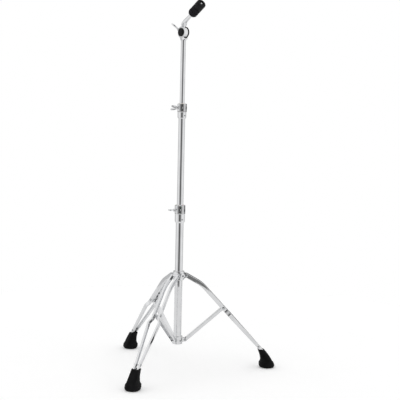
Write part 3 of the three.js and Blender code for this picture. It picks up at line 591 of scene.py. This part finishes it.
def tube(name, size):
    ease, outer, low, high = size.wall / 4, size.radius, size.bottom, size.top
    inner = outer - size.wall
    dressed(turned([
        (inner, low + ease), (inner + ease, low), (outer - ease, low), (outer, low + ease),
        (outer, high - ease), (outer - ease, high), (inner + ease, high), (inner, high - ease),
    ]), TO_AXIS, name, TUBE)


# Legs, made once in a leg's own plane: X runs out from the stand's axis and Z up

LEG_COUNT = 3
LEG_TURNS = [turn_z(360 * i / LEG_COUNT) for i in range(LEG_COUNT)]
STAY_RUN = linkage.length * Vector((cos(SPREAD), sin(SPREAD)))
LINK_RUN = Vector((STAY_RUN.x, -STAY_RUN.y))
KNEE_SLOPE = SPREAD - KNEE_RISE
KNEE_RUN = strip.knee_reach * Vector((cos(KNEE_SLOPE), -sin(KNEE_SLOPE)))
UPPER_RUN = KNEE_RUN.normalized()
LOWER_RUN = (LINK_RUN - KNEE_RUN).normalized()
LOWER_PIVOT = Vector((linkage.pivot_radius, base_tube.bottom + lower_hub.pivot_rise))
BRACE_PIVOT = LOWER_PIVOT + STAY_RUN
UPPER_PIVOT = BRACE_PIVOT - LINK_RUN
KNEE = UPPER_PIVOT + KNEE_RUN
LEG_END = BRACE_PIVOT + LOWER_RUN * strip.brace_to_end
BOLT_PLACE = LEG_END - LOWER_RUN * strip.foot_bolt_from_end


def in_legs(name, obj, finish):
    """Copies a piece made in the leg's own plane to every leg."""
    for i, turn in enumerate(LEG_TURNS):
        dressed(new_object(name, obj.data.copy()), TO_AXIS @ turn, f"leg_{i + 1}_{name}", finish)
    discard(obj)


def leg_stations():
    """(place, direction, sideways spacing, depth) along the leg's bent middle line."""
    stations = []
    bend_steps, jog_steps = 16, 12
    for back, opening in arc(0, 0, 1, 0, 90, steps=9)[1:]:
        at = UPPER_PIVOT - UPPER_RUN * strip.depth / 2 * back
        stations.append((at, UPPER_RUN, strip.spacing, strip.depth * opening))
    start = KNEE - UPPER_RUN * strip.knee_round
    end = KNEE + LOWER_RUN * strip.knee_round
    for i in range(bend_steps + 1):
        t = i / bend_steps
        at = start * (1 - t) ** 2 + KNEE * (2 * t * (1 - t)) + end * t * t
        run = (UPPER_RUN * (1 - t) + LOWER_RUN * t).normalized()
        stations.append((at, run, strip.spacing, strip.depth))
    for i in range(jog_steps + 1):
        t = i / jog_steps
        at = BRACE_PIVOT + LOWER_RUN * (strip.jog_start + strip.jog_length * t)
        spacing = strip.spacing + (strip.wide_spacing - strip.spacing) * (t * t * (3 - 2 * t))
        stations.append((at, LOWER_RUN, spacing, strip.depth))
    taper_start = strip.brace_to_end - strip.taper_length
    for distance in (taper_start, strip.brace_to_end):
        stations.append((BRACE_PIVOT + LOWER_RUN * distance, LOWER_RUN, strip.end_spacing, strip.end_depth))
    return stations


def strip_section(depth):
    """A U section with round outer corners, as (rise, out) points, its web on the outer side."""
    half, side = depth / 2, strip.thickness / 2
    inner = side - strip.gauge
    flange = min(strip.gauge, half / 2)
    corner = min(strip.corner, half / 2)
    return [
        (-half, -side), *arc(corner - half, side - corner, corner, 180, 90, steps=4),
        *arc(half - corner, side - corner, corner, 90, 0, steps=4), (half, -side),
        (half - flange, -side), (half - flange, inner), (flange - half, inner), (flange - half, -side),
    ]


def leg_strip(side):
    rings = []
    for at, run, spacing, depth in leg_stations():
        rings.append([
            (at.x - run.y * rise, side * (spacing / 2 + out), at.y + run.x * rise)
            for rise, out in strip_section(depth)
        ])
    pins = (
        (UPPER_PIVOT, pin.hub_radius), (BRACE_PIVOT, pin.brace_radius), (BOLT_PLACE, foot_bolt.radius),
    )
    holes = [bore(radius + GAP, strip.wide_spacing, across(at), SMALL) for at, radius in pins]
    return eased(cut(lofted(rings), *holes), strip.gauge / 6, segments=2)


def cross_pin(at, radius, half_grip, head):
    """A rivet across the leg, with a domed head at each end."""
    grip = half_grip + GAP
    rim = radius + head.head_width
    shoulder = head.head_height / 4
    dome = [
        (rim * x, grip + (shoulder + (head.head_height - shoulder) * z))
        for x, z in arc(0, 0, 1, 0, 90, steps=8)[:-1]
    ]
    upper = [(radius, grip), (rim, grip), *dome, (0, grip + head.head_height)]
    lower = [(out, -rise) for out, rise in reversed(upper)]
    return place(turned(lower + upper, MEDIUM), across(at))


def slot_outline(length, radius):
    return arc(0, 0, radius, 90, 270, steps=16) + arc(length, 0, radius, -90, 90, steps=16)


def stay_channel(radius, inner):
    """What is taken out of a stay: the channel, with the web relieved round both pivots."""
    low, high = -radius - OVERRUN, radius + OVERRUN
    reach, relief = linkage.length, stay.web_relief
    start, end = (degrees(asin(height / relief)) for height in (radius - stay.gauge, high))
    return plate([
        (low, low), (reach - low, low), (reach - low, high),
        *arc(reach, 0, relief, 180 - end, 180 - start, steps=6),
        *arc(0, 0, relief, start, end, steps=6), (low, high),
    ], 2 * inner)


def leg_stay():
    radius = stay.depth / 2
    body = eased(plate(slot_outline(linkage.length, radius), stay.width), stay.corner, segments=4, angle=60)
    cutters = [stay_channel(radius, stay.width / 2 - stay.gauge)]
    for at, pin_radius in ((0, pin.hub_radius), (linkage.length, pin.brace_radius)):
        cutters.append(bore(pin_radius + GAP, stay.width, shift(at, 0, 0) @ ALONG_Y, SMALL))
    body = eased(cut(body, *cutters), stay.gauge / 6, segments=2)
    return place(body, shift(LOWER_PIVOT.x, 0, LOWER_PIVOT.y) @ turn_y(-degrees(SPREAD)))


# The foot from the floor up: height, shift from the strips' line as a share of the foot's
# length, and how far length and width have grown from the top's to the foot's own
FOOT_RING_SHARES = (
    (0, -0.666, 0.53, 0.36), (0.007, -0.662, 0.62, 0.5), (0.03, -0.642, 0.8, 0.76), (0.11, -0.57, 1, 1),
    (0.2, -0.489, 0.976, 0.96), (0.29, -0.411, 0.9, 0.88), (0.325, -0.379, 0.8, 0.76),
    (0.36, -0.344, 0.675, 0.62), (0.42, -0.289, 0.56, 0.485), (0.5, -0.225, 0.48, 0.36),
    (0.6, -0.167, 0.385, 0.235), (0.7, -0.111, 0.29, 0.134), (0.85, -0.05, 0.15, 0.05),
    (0.98, -0.005, 0.025, 0), (1, 0, -0.03, -0.05),
)
FOOT_SHARP = 40
FOOT_SIDES = 72


def through_shares(rows, steps):
    """Rows of numbers made finer with a smooth curve through them."""
    finer = []
    for i in range(len(rows) - 1):
        before, first, second = rows[max(i - 1, 0)], rows[i], rows[i + 1]
        after = rows[min(i + 2, len(rows) - 1)]
        for j in range(steps):
            t = j / steps
            finer.append(tuple(
                b + t * (c - a) / 2 + t * t * (a - 2.5 * b + 2 * c - d / 2)
                + t ** 3 * (3 * (b - c) + d - a) / 2
                for a, b, c, d in zip(before, first, second, after)
            ))
    finer.append(rows[-1])
    return finer


def foot_section(rise):
    """The foot's section at a share of its height: an oval at the floor, and squarer above."""
    power = 1 / (1 + rise)
    return [
        (copysign(abs(x) ** power, x), copysign(abs(y) ** power, y)) for x, y in circle(FOOT_SIDES)
    ]


def rubber_foot():
    half_deep = strip.end_depth / 2 + GAP
    half_wide = (strip.end_spacing + strip.thickness) / 2 + GAP
    top_length = foot.wall - half_deep / LOWER_RUN.y
    top_width = foot.wall + half_wide
    rings = []
    for rise, along, length_growth, width_growth in through_shares(FOOT_RING_SHARES, steps=3):
        height = foot.height * max(rise, 0)
        middle = LEG_END.x + (height - LEG_END.y) * LOWER_RUN.x / LOWER_RUN.y + foot.length * along
        half_length = top_length + (foot.length / 2 - top_length) * length_growth
        half_width = top_width + (foot.width / 2 - top_width) * width_growth
        outline = foot_section(max(rise, 0))
        rings.append([(middle + half_length * x, half_width * y, height) for x, y in outline])
    body = lofted(rings, FOOT_SHARP)
    socket = block((-foot.height, -half_wide, -half_deep), (GAP, half_wide, half_deep))
    dip = degrees(atan2(-LOWER_RUN.y, LOWER_RUN.x))
    place(socket, shift(LEG_END.x, 0, LEG_END.y) @ turn_y(dip))
    cut(body, socket)
    smooth(body.data, FOOT_SHARP)
    return body


def legs():
    half_pair = (strip.spacing + strip.thickness) / 2
    half_end = (strip.end_spacing + strip.thickness) / 2
    in_legs("left_strip", leg_strip(1), SHEET)
    in_legs("right_strip", leg_strip(-1), SHEET)
    in_legs("rubber_foot", rubber_foot(), RUBBER)
    in_legs("stay", leg_stay(), SHEET)
    for name, *rivet in (
        ("hub_pin", UPPER_PIVOT, pin.hub_radius, half_pair, pin),
        ("brace_pin", BRACE_PIVOT, pin.brace_radius, half_pair, pin),
        ("lower_pin", LOWER_PIVOT, pin.hub_radius, stay.width / 2, pin),
        ("foot_bolt", BOLT_PLACE, foot_bolt.radius, half_end, foot_bolt),
    ):
        in_legs(name, cross_pin(*rivet), ZINC)


# Hubs


def lug_outline(hub, inner, pivot_height):
    outer = inner + hub.ring_wall
    root = (inner + outer) / 2
    low, high = pivot_height - hub.lug_rise, pivot_height + hub.lug_rise
    face = arc(linkage.pivot_radius, pivot_height, hub.lug_round, -90, 90, steps=20)
    return [(root, low), (outer, low), *face, (outer, high), (root, high)]


def ring_profile(outer, inner, bottom, top, ease):
    """A ring's closed profile with rounded outer rims."""
    return [
        (inner, bottom), *arc(outer - ease, bottom + ease, ease, -90, 0, steps=5),
        *arc(outer - ease, top - ease, ease, 0, 90, steps=5), (inner, top),
    ]


def hub_body(hub, inner, bottom, top, pivot_height):
    body = turned(ring_profile(inner + hub.ring_wall, inner, bottom, top, hub.edge))
    lugs, holes = [], []
    for turn in LEG_TURNS:
        lugs.append(place(plate(lug_outline(hub, inner, pivot_height), hub.lug_width), turn))
        at_hole = turn @ shift(linkage.pivot_radius, 0, pivot_height) @ ALONG_Y
        holes.append(bore(pin.hub_radius + GAP, hub.lug_width, at_hole, SMALL))
    return joined(body, *lugs), holes


def socket_screw(size, inner, outer):
    """A headless screw along X with a six-sided socket and a bevelled rim."""
    radius, ease = size.radius, (size.radius - size.socket_radius) / 3
    profile = [(0, inner), (radius, inner), (radius, outer - ease), (radius - ease, outer), (0, outer)]
    screw = turned(profile, MEDIUM)
    socket = peg(size.socket_radius, outer - size.socket_depth, outer + OVERRUN, sides=HEX)
    return place(cut(screw, socket), ALONG_X)


def lower_hub_pieces():
    inner = base_tube.radius + GAP
    surface = inner + lower_hub.ring_wall
    bottom = base_tube.bottom
    body, holes = hub_body(lower_hub, inner, bottom, bottom + lower_hub.height, LOWER_PIVOT.y)
    at_screw = turn_z(BOSS_AZIMUTH) @ shift(0, 0, bottom + hub_set_screw.rise)
    drill = hub_set_screw.radius + GAP
    holes.append(peg(drill, base_tube.radius, surface + OVERRUN, at_screw @ ALONG_X, SMALL))
    dressed(eased(cut(body, *holes), lower_hub.edge / 2), TO_AXIS, "lower_hub", CASTING)
    screw = socket_screw(hub_set_screw, inner, surface - GAP)
    dressed(screw, TO_AXIS @ at_screw, "lower_hub_set_screw", ZINC)


def upper_hub_pieces():
    liner_bore = base_tube.radius + GAP
    liner_radius = liner_bore + upper_hub.liner_wall
    inner = liner_radius + GAP
    bottom, top = UPPER_PIVOT.y - upper_hub.below, UPPER_PIVOT.y + upper_hub.above
    body, holes = hub_body(upper_hub, inner, bottom, top, UPPER_PIVOT.y)
    at_boss = turn_z(BOSS_AZIMUTH) @ shift(0, 0, UPPER_PIVOT.y)
    boss_radius, reach, edge = upper_hub.boss_radius, upper_hub.boss_reach, upper_hub.edge
    root = inner + edge
    face = arc(boss_radius - edge, reach - edge, edge, 0, 90, steps=5)
    boss = turned([(0, root), (boss_radius, root), *face, (0, reach)])
    drill = hub_lock_screw.radius + GAP, base_tube.radius, reach + OVERRUN, at_boss @ ALONG_X
    body = cut(joined(body, place(boss, at_boss @ ALONG_X)), *holes, peg(*drill))
    dressed(eased(body, edge / 2), TO_AXIS, "upper_hub", CASTING)
    lip = liner_radius + upper_hub.liner_lip
    low = bottom - upper_hub.liner_lip
    liner = turned([
        (liner_bore, low), (lip, low), (lip, bottom - GAP), (liner_radius, bottom - GAP),
        (liner_radius, top), (liner_bore, top),
    ])
    dressed(cut(liner, peg(*drill)), TO_AXIS, "upper_hub_liner", PALE_NYLON)
    screw = socket_screw(hub_lock_screw, liner_bore, reach - GAP)
    dressed(screw, TO_AXIS @ at_boss, "upper_hub_lock_screw", ZINC)


# Wing bolts: the shaft runs down from the origin, and the hub and blades stand above it


def bezier(*corners, steps=14):
    """Points on the curve of a start, two control points and an end, without the start."""
    points = []
    for i in range(1, steps + 1):
        t = i / steps
        weights = ((1 - t) ** 3, 3 * t * (1 - t) ** 2, 3 * t * t * (1 - t), t ** 3)
        points.append(tuple(sum(w * c[k] for w, c in zip(weights, corners)) for k in (0, 1)))
    return points


# Control points of one blade's edge, as shares of the wing's span and reach
BLADE_ROOT_SHARES = ((0.4, 0.12), (0.68, 0.22), (0.84, 0.42))
BLADE_TIP_SHARES = ((1.02, 0.62), (1.02, 1), (0.84, 1))
BLADE_BACK_SHARES = ((0.5, 1), (0.35, 0.5))
DOME_SHARES = (0, 0.3, 0.6, 0.85)


def wing_outline():
    """Both blades in one outline, each flaring out and back from the hub."""
    front = (0, wing.hub_neck / 2)
    notch = (0, wing.root_reach + wing.hub_neck)
    root, tip, back = (
        [(wing.span * x, wing.reach * z) for x, z in shares]
        for shares in (BLADE_ROOT_SHARES, BLADE_TIP_SHARES, BLADE_BACK_SHARES)
    )
    right = [front, *bezier(front, *root), *bezier(root[2], *tip), *bezier(tip[2], *back, notch)]
    return right + [(-x, z) for x, z in reversed(right[1:-1])]


def wing_bolt(shaft_length, twist):
    shaft, radius, neck, crown = wing.bolt_radius, wing.hub_radius, wing.hub_neck, wing.hub_length
    dome = [
        (neck + (radius - neck) * (1 - share), neck / 2 + (crown - neck / 2) * share)
        for share in DOME_SHARES
    ]
    ease = (crown - neck) / 4
    hub = turned([
        (0, -shaft_length), (shaft - ease, -shaft_length), (shaft, ease - shaft_length), (shaft, 0),
        (radius - ease, 0), (radius, ease), *dome, (neck - ease, crown), (0, crown),
    ], MEDIUM)
    blades = eased(plate(wing_outline(), wing.thickness), wing.blade_round, segments=4, angle=50)
    return place(eased(joined(hub, blades), wing.edge, segments=2, angle=40), turn_z(twist))


# Height clamps, each in its own frame: the split line is at height 0

# The radii of the ears' corners and of their bulged front, as shares of the ears' width
EAR_ROUND_SHARE = 0.13
EAR_BULGE_SHARE = 1.05

for clamp in (lower_clamp, upper_clamp):
    clamp.sleeve_bore = clamp.outer + GAP
    clamp.sleeve = clamp.sleeve_bore + clamp.sleeve_wall
    clamp.collar_bore = clamp.outer + clamp.collar_gap
    clamp.collar = clamp.collar_bore + clamp.collar_wall


def ear_outline(clamp):
    """The ears' outline from above: a bulged front between round corners."""
    half, front = clamp.ear_width / 2, -clamp.ear_reach
    corner, bulge = clamp.ear_width * EAR_ROUND_SHARE, clamp.ear_width * EAR_BULGE_SHARE
    swing = asin((half - corner) / (bulge - corner))
    turn = degrees(swing)
    middle = (half - corner, front + bulge - (bulge - corner) * cos(swing))
    return [
        (half, 0), (-half, 0), *arc(-middle[0], middle[1], corner, 180, 270 - turn, steps=6),
        *arc(0, front + bulge, bulge, 270 - turn, 270 + turn, steps=16)[1:-1],
        *arc(*middle, corner, 270 + turn, 360, steps=6),
    ]


def clamp_body(clamp, at_screw):
    top, drop, floor = clamp.collar_height, clamp.sleeve_length, clamp.under_cut
    over = top + OVERRUN
    ease = clamp.collar_wall / 3
    body = turned([
        (clamp.sleeve_bore, -drop), (clamp.sleeve_bore + ease, -drop),
        (clamp.sleeve, clamp.sleeve_taper - drop), (clamp.sleeve, -floor), (clamp.collar, 0),
        *arc(clamp.collar - ease, top - ease, ease, 0, 90, steps=5), (clamp.sleeve_bore, top),
    ])
    drill = clamp_screw.radius + GAP
    body = cut(body, peg(drill, clamp.outer, clamp.collar + OVERRUN, at_screw @ ALONG_X, SMALL))
    half, pocket = clamp.ear_width / 2, clamp.nut_width / 2 + GAP
    ears = eased(slab(ear_outline(clamp), floor - SEAM, top), ease, angle=60)
    ears = cut(ears, block(
        (half - clamp.nut_depth - GAP, -clamp.bolt_reach - pocket, floor / 2),
        (half + OVERRUN, -clamp.bolt_reach + pocket, over),
    ))
    # One tool cuts the slit between the ears and the gap under them.
    reach, slit = clamp.ear_reach + OVERRUN, clamp.slit / 2
    depth = reach - clamp.collar_bore / 2
    split = plate([
        (-reach, -SEAM), (reach, -SEAM), (reach, floor), (slit, floor),
        (slit, over), (-slit, over), (-slit, floor), (-reach, floor),
    ], depth)
    body = cut(
        joined(body, ears),
        bore(clamp.collar_bore, over, shift(0, 0, over), FINE),
        bore(wing.bolt_radius + GAP, reach, shift(0, -clamp.bolt_reach, clamp.bolt_height) @ ALONG_X),
        place(split, shift(0, depth / 2 - reach, 0)),
    )
    return eased(body, clamp.collar_wall / 9)


def square_nut(clamp):
    corner = clamp.nut_width / 12
    inset = clamp.nut_width / 2 - corner
    outline = []
    for x, z, start in ((inset, inset, 0), (-inset, inset, 90), (-inset, -inset, 180), (inset, -inset, 270)):
        outline += arc(x, z, corner, start, start + 90, steps=4)
    body = eased(plate(outline, clamp.nut_depth), corner / 2, segments=2, angle=60)
    return place(cut(body, bore(wing.bolt_radius + GAP, clamp.nut_depth, ALONG_Y)), turn_z(90))


def clamp_pieces(name, clamp):
    at_clamp = TO_AXIS @ shift(0, 0, clamp.base)
    at_screw = turn_z(clamp.screw_azimuth) @ shift(0, 0, -clamp.screw_drop)
    dressed(clamp_body(clamp, at_screw), at_clamp, name, CASTING)
    bush_bore, bush_radius = clamp.inner + GAP, clamp.collar_bore - GAP
    low, high = GAP, clamp.collar_height + GAP
    lip, top = bush_radius + bush.lip, high + bush.lip
    liner = turned([
        (bush_bore, low), (bush_radius, low), (bush_radius, high), (lip, high), (lip, top - bush.ease),
        (lip - bush.ease, top), (bush_bore, top),
    ])
    dressed(liner, at_clamp, name + "_bush", PALE_NYLON)
    half = clamp.ear_width / 2
    at_bolt = shift(-half - GAP, -clamp.bolt_reach, clamp.bolt_height) @ turn_y(-90)
    bolt = wing_bolt(clamp.ear_width, clamp.wing_twist)
    dressed(bolt, at_clamp @ at_bolt, name + "_wing_bolt", CASTING)
    at_nut = shift(half - clamp.nut_depth / 2, -clamp.bolt_reach, clamp.bolt_height)
    dressed(square_nut(clamp), at_clamp @ at_nut, name + "_nut", ZINC)
    screw = socket_screw(clamp_screw, clamp.outer + GAP, clamp.outer + clamp.sleeve_wall - GAP)
    dressed(screw, at_clamp @ at_screw, name + "_set_screw", ZINC)


# Tilter. In its frame the drum's axis is Y through the origin, from the near side to the far side.

AT_TILTER = TO_AXIS @ shift(0, 0, top_tube.top + tilter.tube_drop) @ turn_z(LEAN_AZIMUTH)
AT_ARM = AT_TILTER @ turn_y(REST_TILT)
AT_ROD = AT_ARM @ shift(-tilter.rod_offset, 0, 0)
TO_SCREW = turn_y(-SCREW_LEAN - REST_TILT)
RING_HALF = tilter.ring_width / 2
NEAR_CHEEK = -RING_HALF - GAP - tilter.cheek_thickness
FAR_DISC = RING_HALF + GAP
FAR_CHEEK = FAR_DISC + tilter.disc_thickness + GAP
FAR_FACE = FAR_CHEEK + tilter.cheek_thickness
LINER_BORE = tilter.drum_radius + GAP
EYE_BORE = LINER_BORE + tilter.liner_wall + GAP
BRIDGE_LIP = tilter.bridge_thickness / 2 - tilter.bridge_drop


def cheek(radius, start):
    """A round cheek with its leg down to the bridge, bored for the drum's axle."""
    half, thickness = tilter.stem_neck, tilter.cheek_thickness
    side = degrees(asin(half / radius))
    outline = arc(0, 0, radius, side - 90, 270 - side, FINE) + [(-half, BRIDGE_LIP), (half, BRIDGE_LIP)]
    body = cut(plate(outline, thickness), bore(tilter.axle_radius + GAP, thickness, ALONG_Y))
    return place(eased(body, thickness / 6, angle=50), shift(0, start + thickness / 2, 0))


def yoke():
    """Two cheeks on a bridge that narrows to the stem's collar like a funnel."""
    tube_end = GAP - tilter.tube_drop
    shoulder = tube_end + tilter.stem_collar
    top = tilter.bridge_thickness - tilter.bridge_drop
    waist = shoulder - tilter.stem_collar / 2
    funnel = [
        (NEAR_CHEEK + GAP, top), (NEAR_CHEEK + GAP, BRIDGE_LIP), (GAP - top_tube.radius, waist),
        (top_tube.radius - GAP, waist), (FAR_FACE - GAP, BRIDGE_LIP), (FAR_FACE - GAP, top),
    ]
    bridge = eased(plate(funnel, 2 * tilter.stem_neck - GAP), tilter.cheek_thickness / 6, angle=20)
    inner, outer = top_tube.radius - top_tube.wall - GAP, top_tube.radius
    low, ease = tube_end - tilter.stem_length, tilter.stem_collar / 4
    stem = turned([
        (0, low), (inner, low), (inner, tube_end), (outer, tube_end), (outer, shoulder - ease),
        (outer - ease, shoulder), (tilter.stem_neck, BRIDGE_LIP), (0, BRIDGE_LIP),
    ])
    cheeks = cheek(tilter.cheek_radius, NEAR_CHEEK), cheek(tilter.far_cheek_radius, FAR_CHEEK)
    body = joined(place(bridge, turn_z(90)), stem, *cheeks)
    smooth(body.data)
    return body


def drum():
    axle, radius, high = tilter.axle_radius, tilter.drum_radius, FAR_DISC + tilter.disc_thickness
    return place(turned([
        (0, NEAR_CHEEK), (axle, NEAR_CHEEK), (axle, -RING_HALF), (radius, -RING_HALF), (radius, high),
        (axle, high), (axle, FAR_FACE), (0, FAR_FACE),
    ]), ALONG_Y)


def through(shares, steps):
    """The shares with steps - 1 more between each two, on straight lines."""
    between = [a + (b - a) * i / steps for a, b in zip(shares, shares[1:]) for i in range(steps)]
    return [*between, shares[-1]]


def arm():
    """The ring round the drum, the bent neck that holds the rod, and the screw's boss."""
    eye = turned(ring_profile(tilter.ring_radius, EYE_BORE, -RING_HALF, RING_HALF, tilter.ring_edge))
    root_turn = pi - asin(tilter.neck_root / tilter.ring_radius)
    root_reach = (EYE_BORE + tilter.ring_radius) / 2
    root = Vector((root_reach * cos(root_turn), root_reach * sin(root_turn)))
    bend = Vector((-tilter.rod_offset, root.y + tilter.rod_offset - root_reach))
    rise = Vector((-tilter.rod_offset, tilter.neck_rise))
    tip = Vector((-tilter.rod_offset, tilter.neck_tip))
    tip_radius, reach = tilter.neck_tip_radius, tilter.boss_reach
    rings = []
    widenings = through(NECK_SHOULDER_SHARES, NECK_STEPS)
    outline = circle(NECK_SIDES)

    def section(centre, run, radius, breadth):
        return [
            (centre.x - run.y * radius * x, breadth * y, centre.y + run.x * radius * x) for x, y in outline
        ]

    for i, widening in enumerate(widenings):
        t = i / (len(widenings) - 1)
        centre = root * (1 - t) ** 2 + bend * (2 * t * (1 - t)) + rise * t * t
        run = ((bend - root) * (1 - t) + (rise - bend) * t).normalized()
        breadth = RING_HALF + (tilter.neck_shoulder - RING_HALF) * widening
        rings.append(section(centre, run, RING_HALF, breadth))
    straight = Vector((0, 1))
    ease = (RING_HALF - tip_radius) / 3
    rings.append(section(tip - straight * ease, straight, tip_radius, tip_radius))
    rings.append(section(tip, straight, tip_radius - ease, tip_radius - ease))
    neck = lofted(rings)
    boss_low = EYE_BORE + GAP
    boss = place(turned([
        (0, boss_low), (tilter.boss_radius, boss_low), (tilter.boss_radius, reach - ease),
        (tilter.boss_radius - ease, reach), (0, reach),
    ]), TO_SCREW @ ALONG_X)
    low, high = tilter.neck_tip - rod.socket, tilter.neck_tip + OVERRUN
    holes = (
        bore(EYE_BORE, RING_HALF + OVERRUN, ALONG_Y, FINE),
        peg(wing.bolt_radius + GAP, 0, reach + OVERRUN, TO_SCREW @ ALONG_X),
        peg(rod.radius + GAP, low, high, shift(-tilter.rod_offset, 0, 0)),
    )
    return eased(cut(joined(place(eye, ALONG_Y), neck, boss), *holes), tilter.arm_edge)


def tilter_pieces():
    dressed(yoke(), AT_TILTER, "tilter_yoke", CASTING)
    dressed(drum(), AT_TILTER, "tilter_drum", ZINC)
    outer = LINER_BORE + tilter.liner_wall
    liner = turned(ring_profile(outer, LINER_BORE, -RING_HALF, RING_HALF, tilter.liner_wall / 4))
    dressed(liner, AT_TILTER @ ALONG_Y, "tilter_friction_liner", BLACK_NYLON)
    thickness = tilter.disc_thickness
    disc = turned(ring_profile(
        tilter.disc_radius, LINER_BORE, FAR_DISC, FAR_DISC + thickness, thickness / 4,
    ))
    dressed(disc, AT_TILTER @ ALONG_Y, "tilter_friction_disc", BLACK_NYLON)
    radius, thickness = tilter.cap_radius, tilter.cap_thickness
    ease, face = thickness / 3, -thickness * CAP_FACE_SHARE
    cap = turned([
        (0, face), (radius * CAP_RIM_SHARES[0], face), (radius * CAP_RIM_SHARES[1], -thickness),
        *arc(radius - ease, ease - thickness, ease, -90, 0, steps=6), (radius, 0), (0, 0),
    ])
    dressed(cap, AT_TILTER @ shift(0, NEAR_CHEEK - GAP, 0) @ ALONG_Y, "tilter_end_cap", BLACK_NYLON)
    dressed(arm(), AT_ARM, "tilter_arm", CASTING)
    seat = tilter.boss_reach + GAP
    bolt = wing_bolt(seat - (EYE_BORE + GAP), SCREW_TWIST)
    dressed(bolt, AT_ARM @ TO_SCREW @ shift(seat, 0, 0) @ ALONG_X, "tilter_wing_screw", CASTING)


# The rod and what it carries, on the rod's own axis

SEAT = tilter.neck_tip + GAP
SLEEVE_BOTTOM = SEAT + washer.height + GAP
LOWER_FELT_BOTTOM = SLEEVE_BOTTOM + sleeve.flange_height + GAP
UPPER_FELT_BOTTOM = LOWER_FELT_BOTTOM + felt.height + GAP
NUT_BOTTOM = UPPER_FELT_BOTTOM + felt.height + GAP
NUT_TOP = NUT_BOTTOM + nut.height
SLEEVE_TOP = NUT_BOTTOM + sleeve.into_nut
ROD_TOP = NUT_TOP - nut.recess_depth + rod.in_recess
OVER_SLEEVE = rod.radius + 2 * GAP + sleeve.wall


def threaded_rod():
    """A plain shank with a cut thread on the stretch above the sleeve."""
    outline = circle(MEDIUM)
    bottom = tilter.neck_tip - rod.socket + GAP
    thread_start = SLEEVE_TOP - 2 * rod.pitch
    step = rod.pitch / THREAD_STEPS
    count = int((ROD_TOP - rod.edge - thread_start) / step)
    levels = [thread_start + i * step for i in range(count + 1)]

    def level(radius, height):
        return [(radius * x, radius * y, height) for x, y in outline]

    rings = [level(rod.radius - rod.edge, bottom)]
    for height in (bottom + rod.edge, thread_start - rod.pitch, *levels):
        fade = min(1, max(0, (height - thread_start) / (2 * rod.pitch)))
        ring = []
        for i, (x, y) in enumerate(outline):
            phase = (height / rod.pitch - i / MEDIUM) % 1
            radius = rod.radius - rod.thread_depth * (1 - abs(2 * phase - 1)) * fade
            ring.append((radius * x, radius * y, height))
        rings.append(ring)
    rings.append(level(rod.radius - rod.edge, ROD_TOP))
    return lofted(rings, sharp=25)


def felt_washer(bottom, seed):
    """A thick felt ring with round rims and an uneven, fibrous surface."""
    inner, core = OVER_SLEEVE, felt.radius - felt.round
    face, span = (inner + core) / 2, felt.height - 2 * felt.round
    low, top = bottom + felt.round, bottom + felt.height
    body = turned([
        (inner, bottom), (face, bottom), *arc(core, low, felt.round, -90, 0, steps=10),
        *((felt.radius, low + span * i / FELT_STEPS) for i in range(1, FELT_STEPS)),
        *arc(core, top - felt.round, felt.round, 0, 90, steps=10), (face, top), (inner, top),
    ], FELT_SIDES, sharp=60)
    for vertex in body.data.vertices:
        at = vertex.co
        if hypot(at.x, at.y) > inner + felt.round / 2:
            fibres = noise.noise(at * FIBRE_SCALE + Vector((seed, 0, 0)))
            fluff = fibres + noise.noise(at * CLUMP_SCALE)
            share = 1 + FELT_FLUFF * (fluff - 1) / felt.radius
            at.x *= share
            at.y *= share
    return body


def quick_nut():
    """A round grip with flutes, and the rod's end in a recess on top."""
    floor = NUT_TOP - nut.recess_depth
    body = turned([
        (0, NUT_BOTTOM), *arc(nut.radius - nut.foot, NUT_BOTTOM + nut.foot, nut.foot, -90, 0, steps=8),
        *arc(nut.radius - nut.round, NUT_TOP - nut.round, nut.round, 0, 90, steps=10),
        (nut.recess_radius, NUT_TOP), (nut.recess_radius, floor), (0, floor),
    ])
    start = NUT_BOTTOM - OVERRUN
    cutters = [peg(nut.bore, start, NUT_TOP), peg(OVER_SLEEVE, start, SLEEVE_TOP + GAP)]
    at_flute = shift(nut.radius + nut.flute_radius - nut.flute_depth, 0, NUT_BOTTOM + nut.height / 2)
    for i in range(NUT_FLUTES):
        cutters.append(bore(nut.flute_radius, nut.height, turn_z(360 * i / NUT_FLUTES) @ at_flute))
    return eased(cut(body, *cutters), nut.edge, angle=40)


def stack_pieces():
    dressed(threaded_rod(), AT_ROD, "cymbal_rod", ZINC)
    inner = rod.radius + GAP
    radius, top, ease = washer.radius, SEAT + washer.height, washer.dish / 3
    dish = turned([
        (inner, SEAT), (radius - washer.dish, SEAT), (radius, SEAT + washer.dish), (radius, top - ease),
        (radius - ease, top), (inner, top),
    ])
    dressed(dish, AT_ROD, "seat_washer", CASTING)
    lip, outer = SLEEVE_BOTTOM + sleeve.flange_height, inner + sleeve.wall
    liner = turned([
        (inner, SLEEVE_BOTTOM), (sleeve.flange_radius, SLEEVE_BOTTOM), (sleeve.flange_radius, lip),
        (outer, lip), (outer, SLEEVE_TOP), (inner, SLEEVE_TOP),
    ])
    dressed(liner, AT_ROD, "rod_sleeve", BLACK_NYLON)
    for seed, node, bottom in ((0, "lower_felt", LOWER_FELT_BOTTOM), (1, "upper_felt", UPPER_FELT_BOTTOM)):
        dressed(felt_washer(bottom, seed), AT_ROD, node, FELT)
    dressed(quick_nut(), AT_ROD, "quick_release_nut", BLACK_NYLON)


bpy.context.scene.view_settings.view_transform = "Standard"
tube("base_tube", base_tube)
tube("middle_tube", middle_tube)
tube("top_tube", top_tube)
legs()
lower_hub_pieces()
upper_hub_pieces()
clamp_pieces("lower_clamp", lower_clamp)
clamp_pieces("upper_clamp", upper_clamp)
tilter_pieces()
stack_pieces()
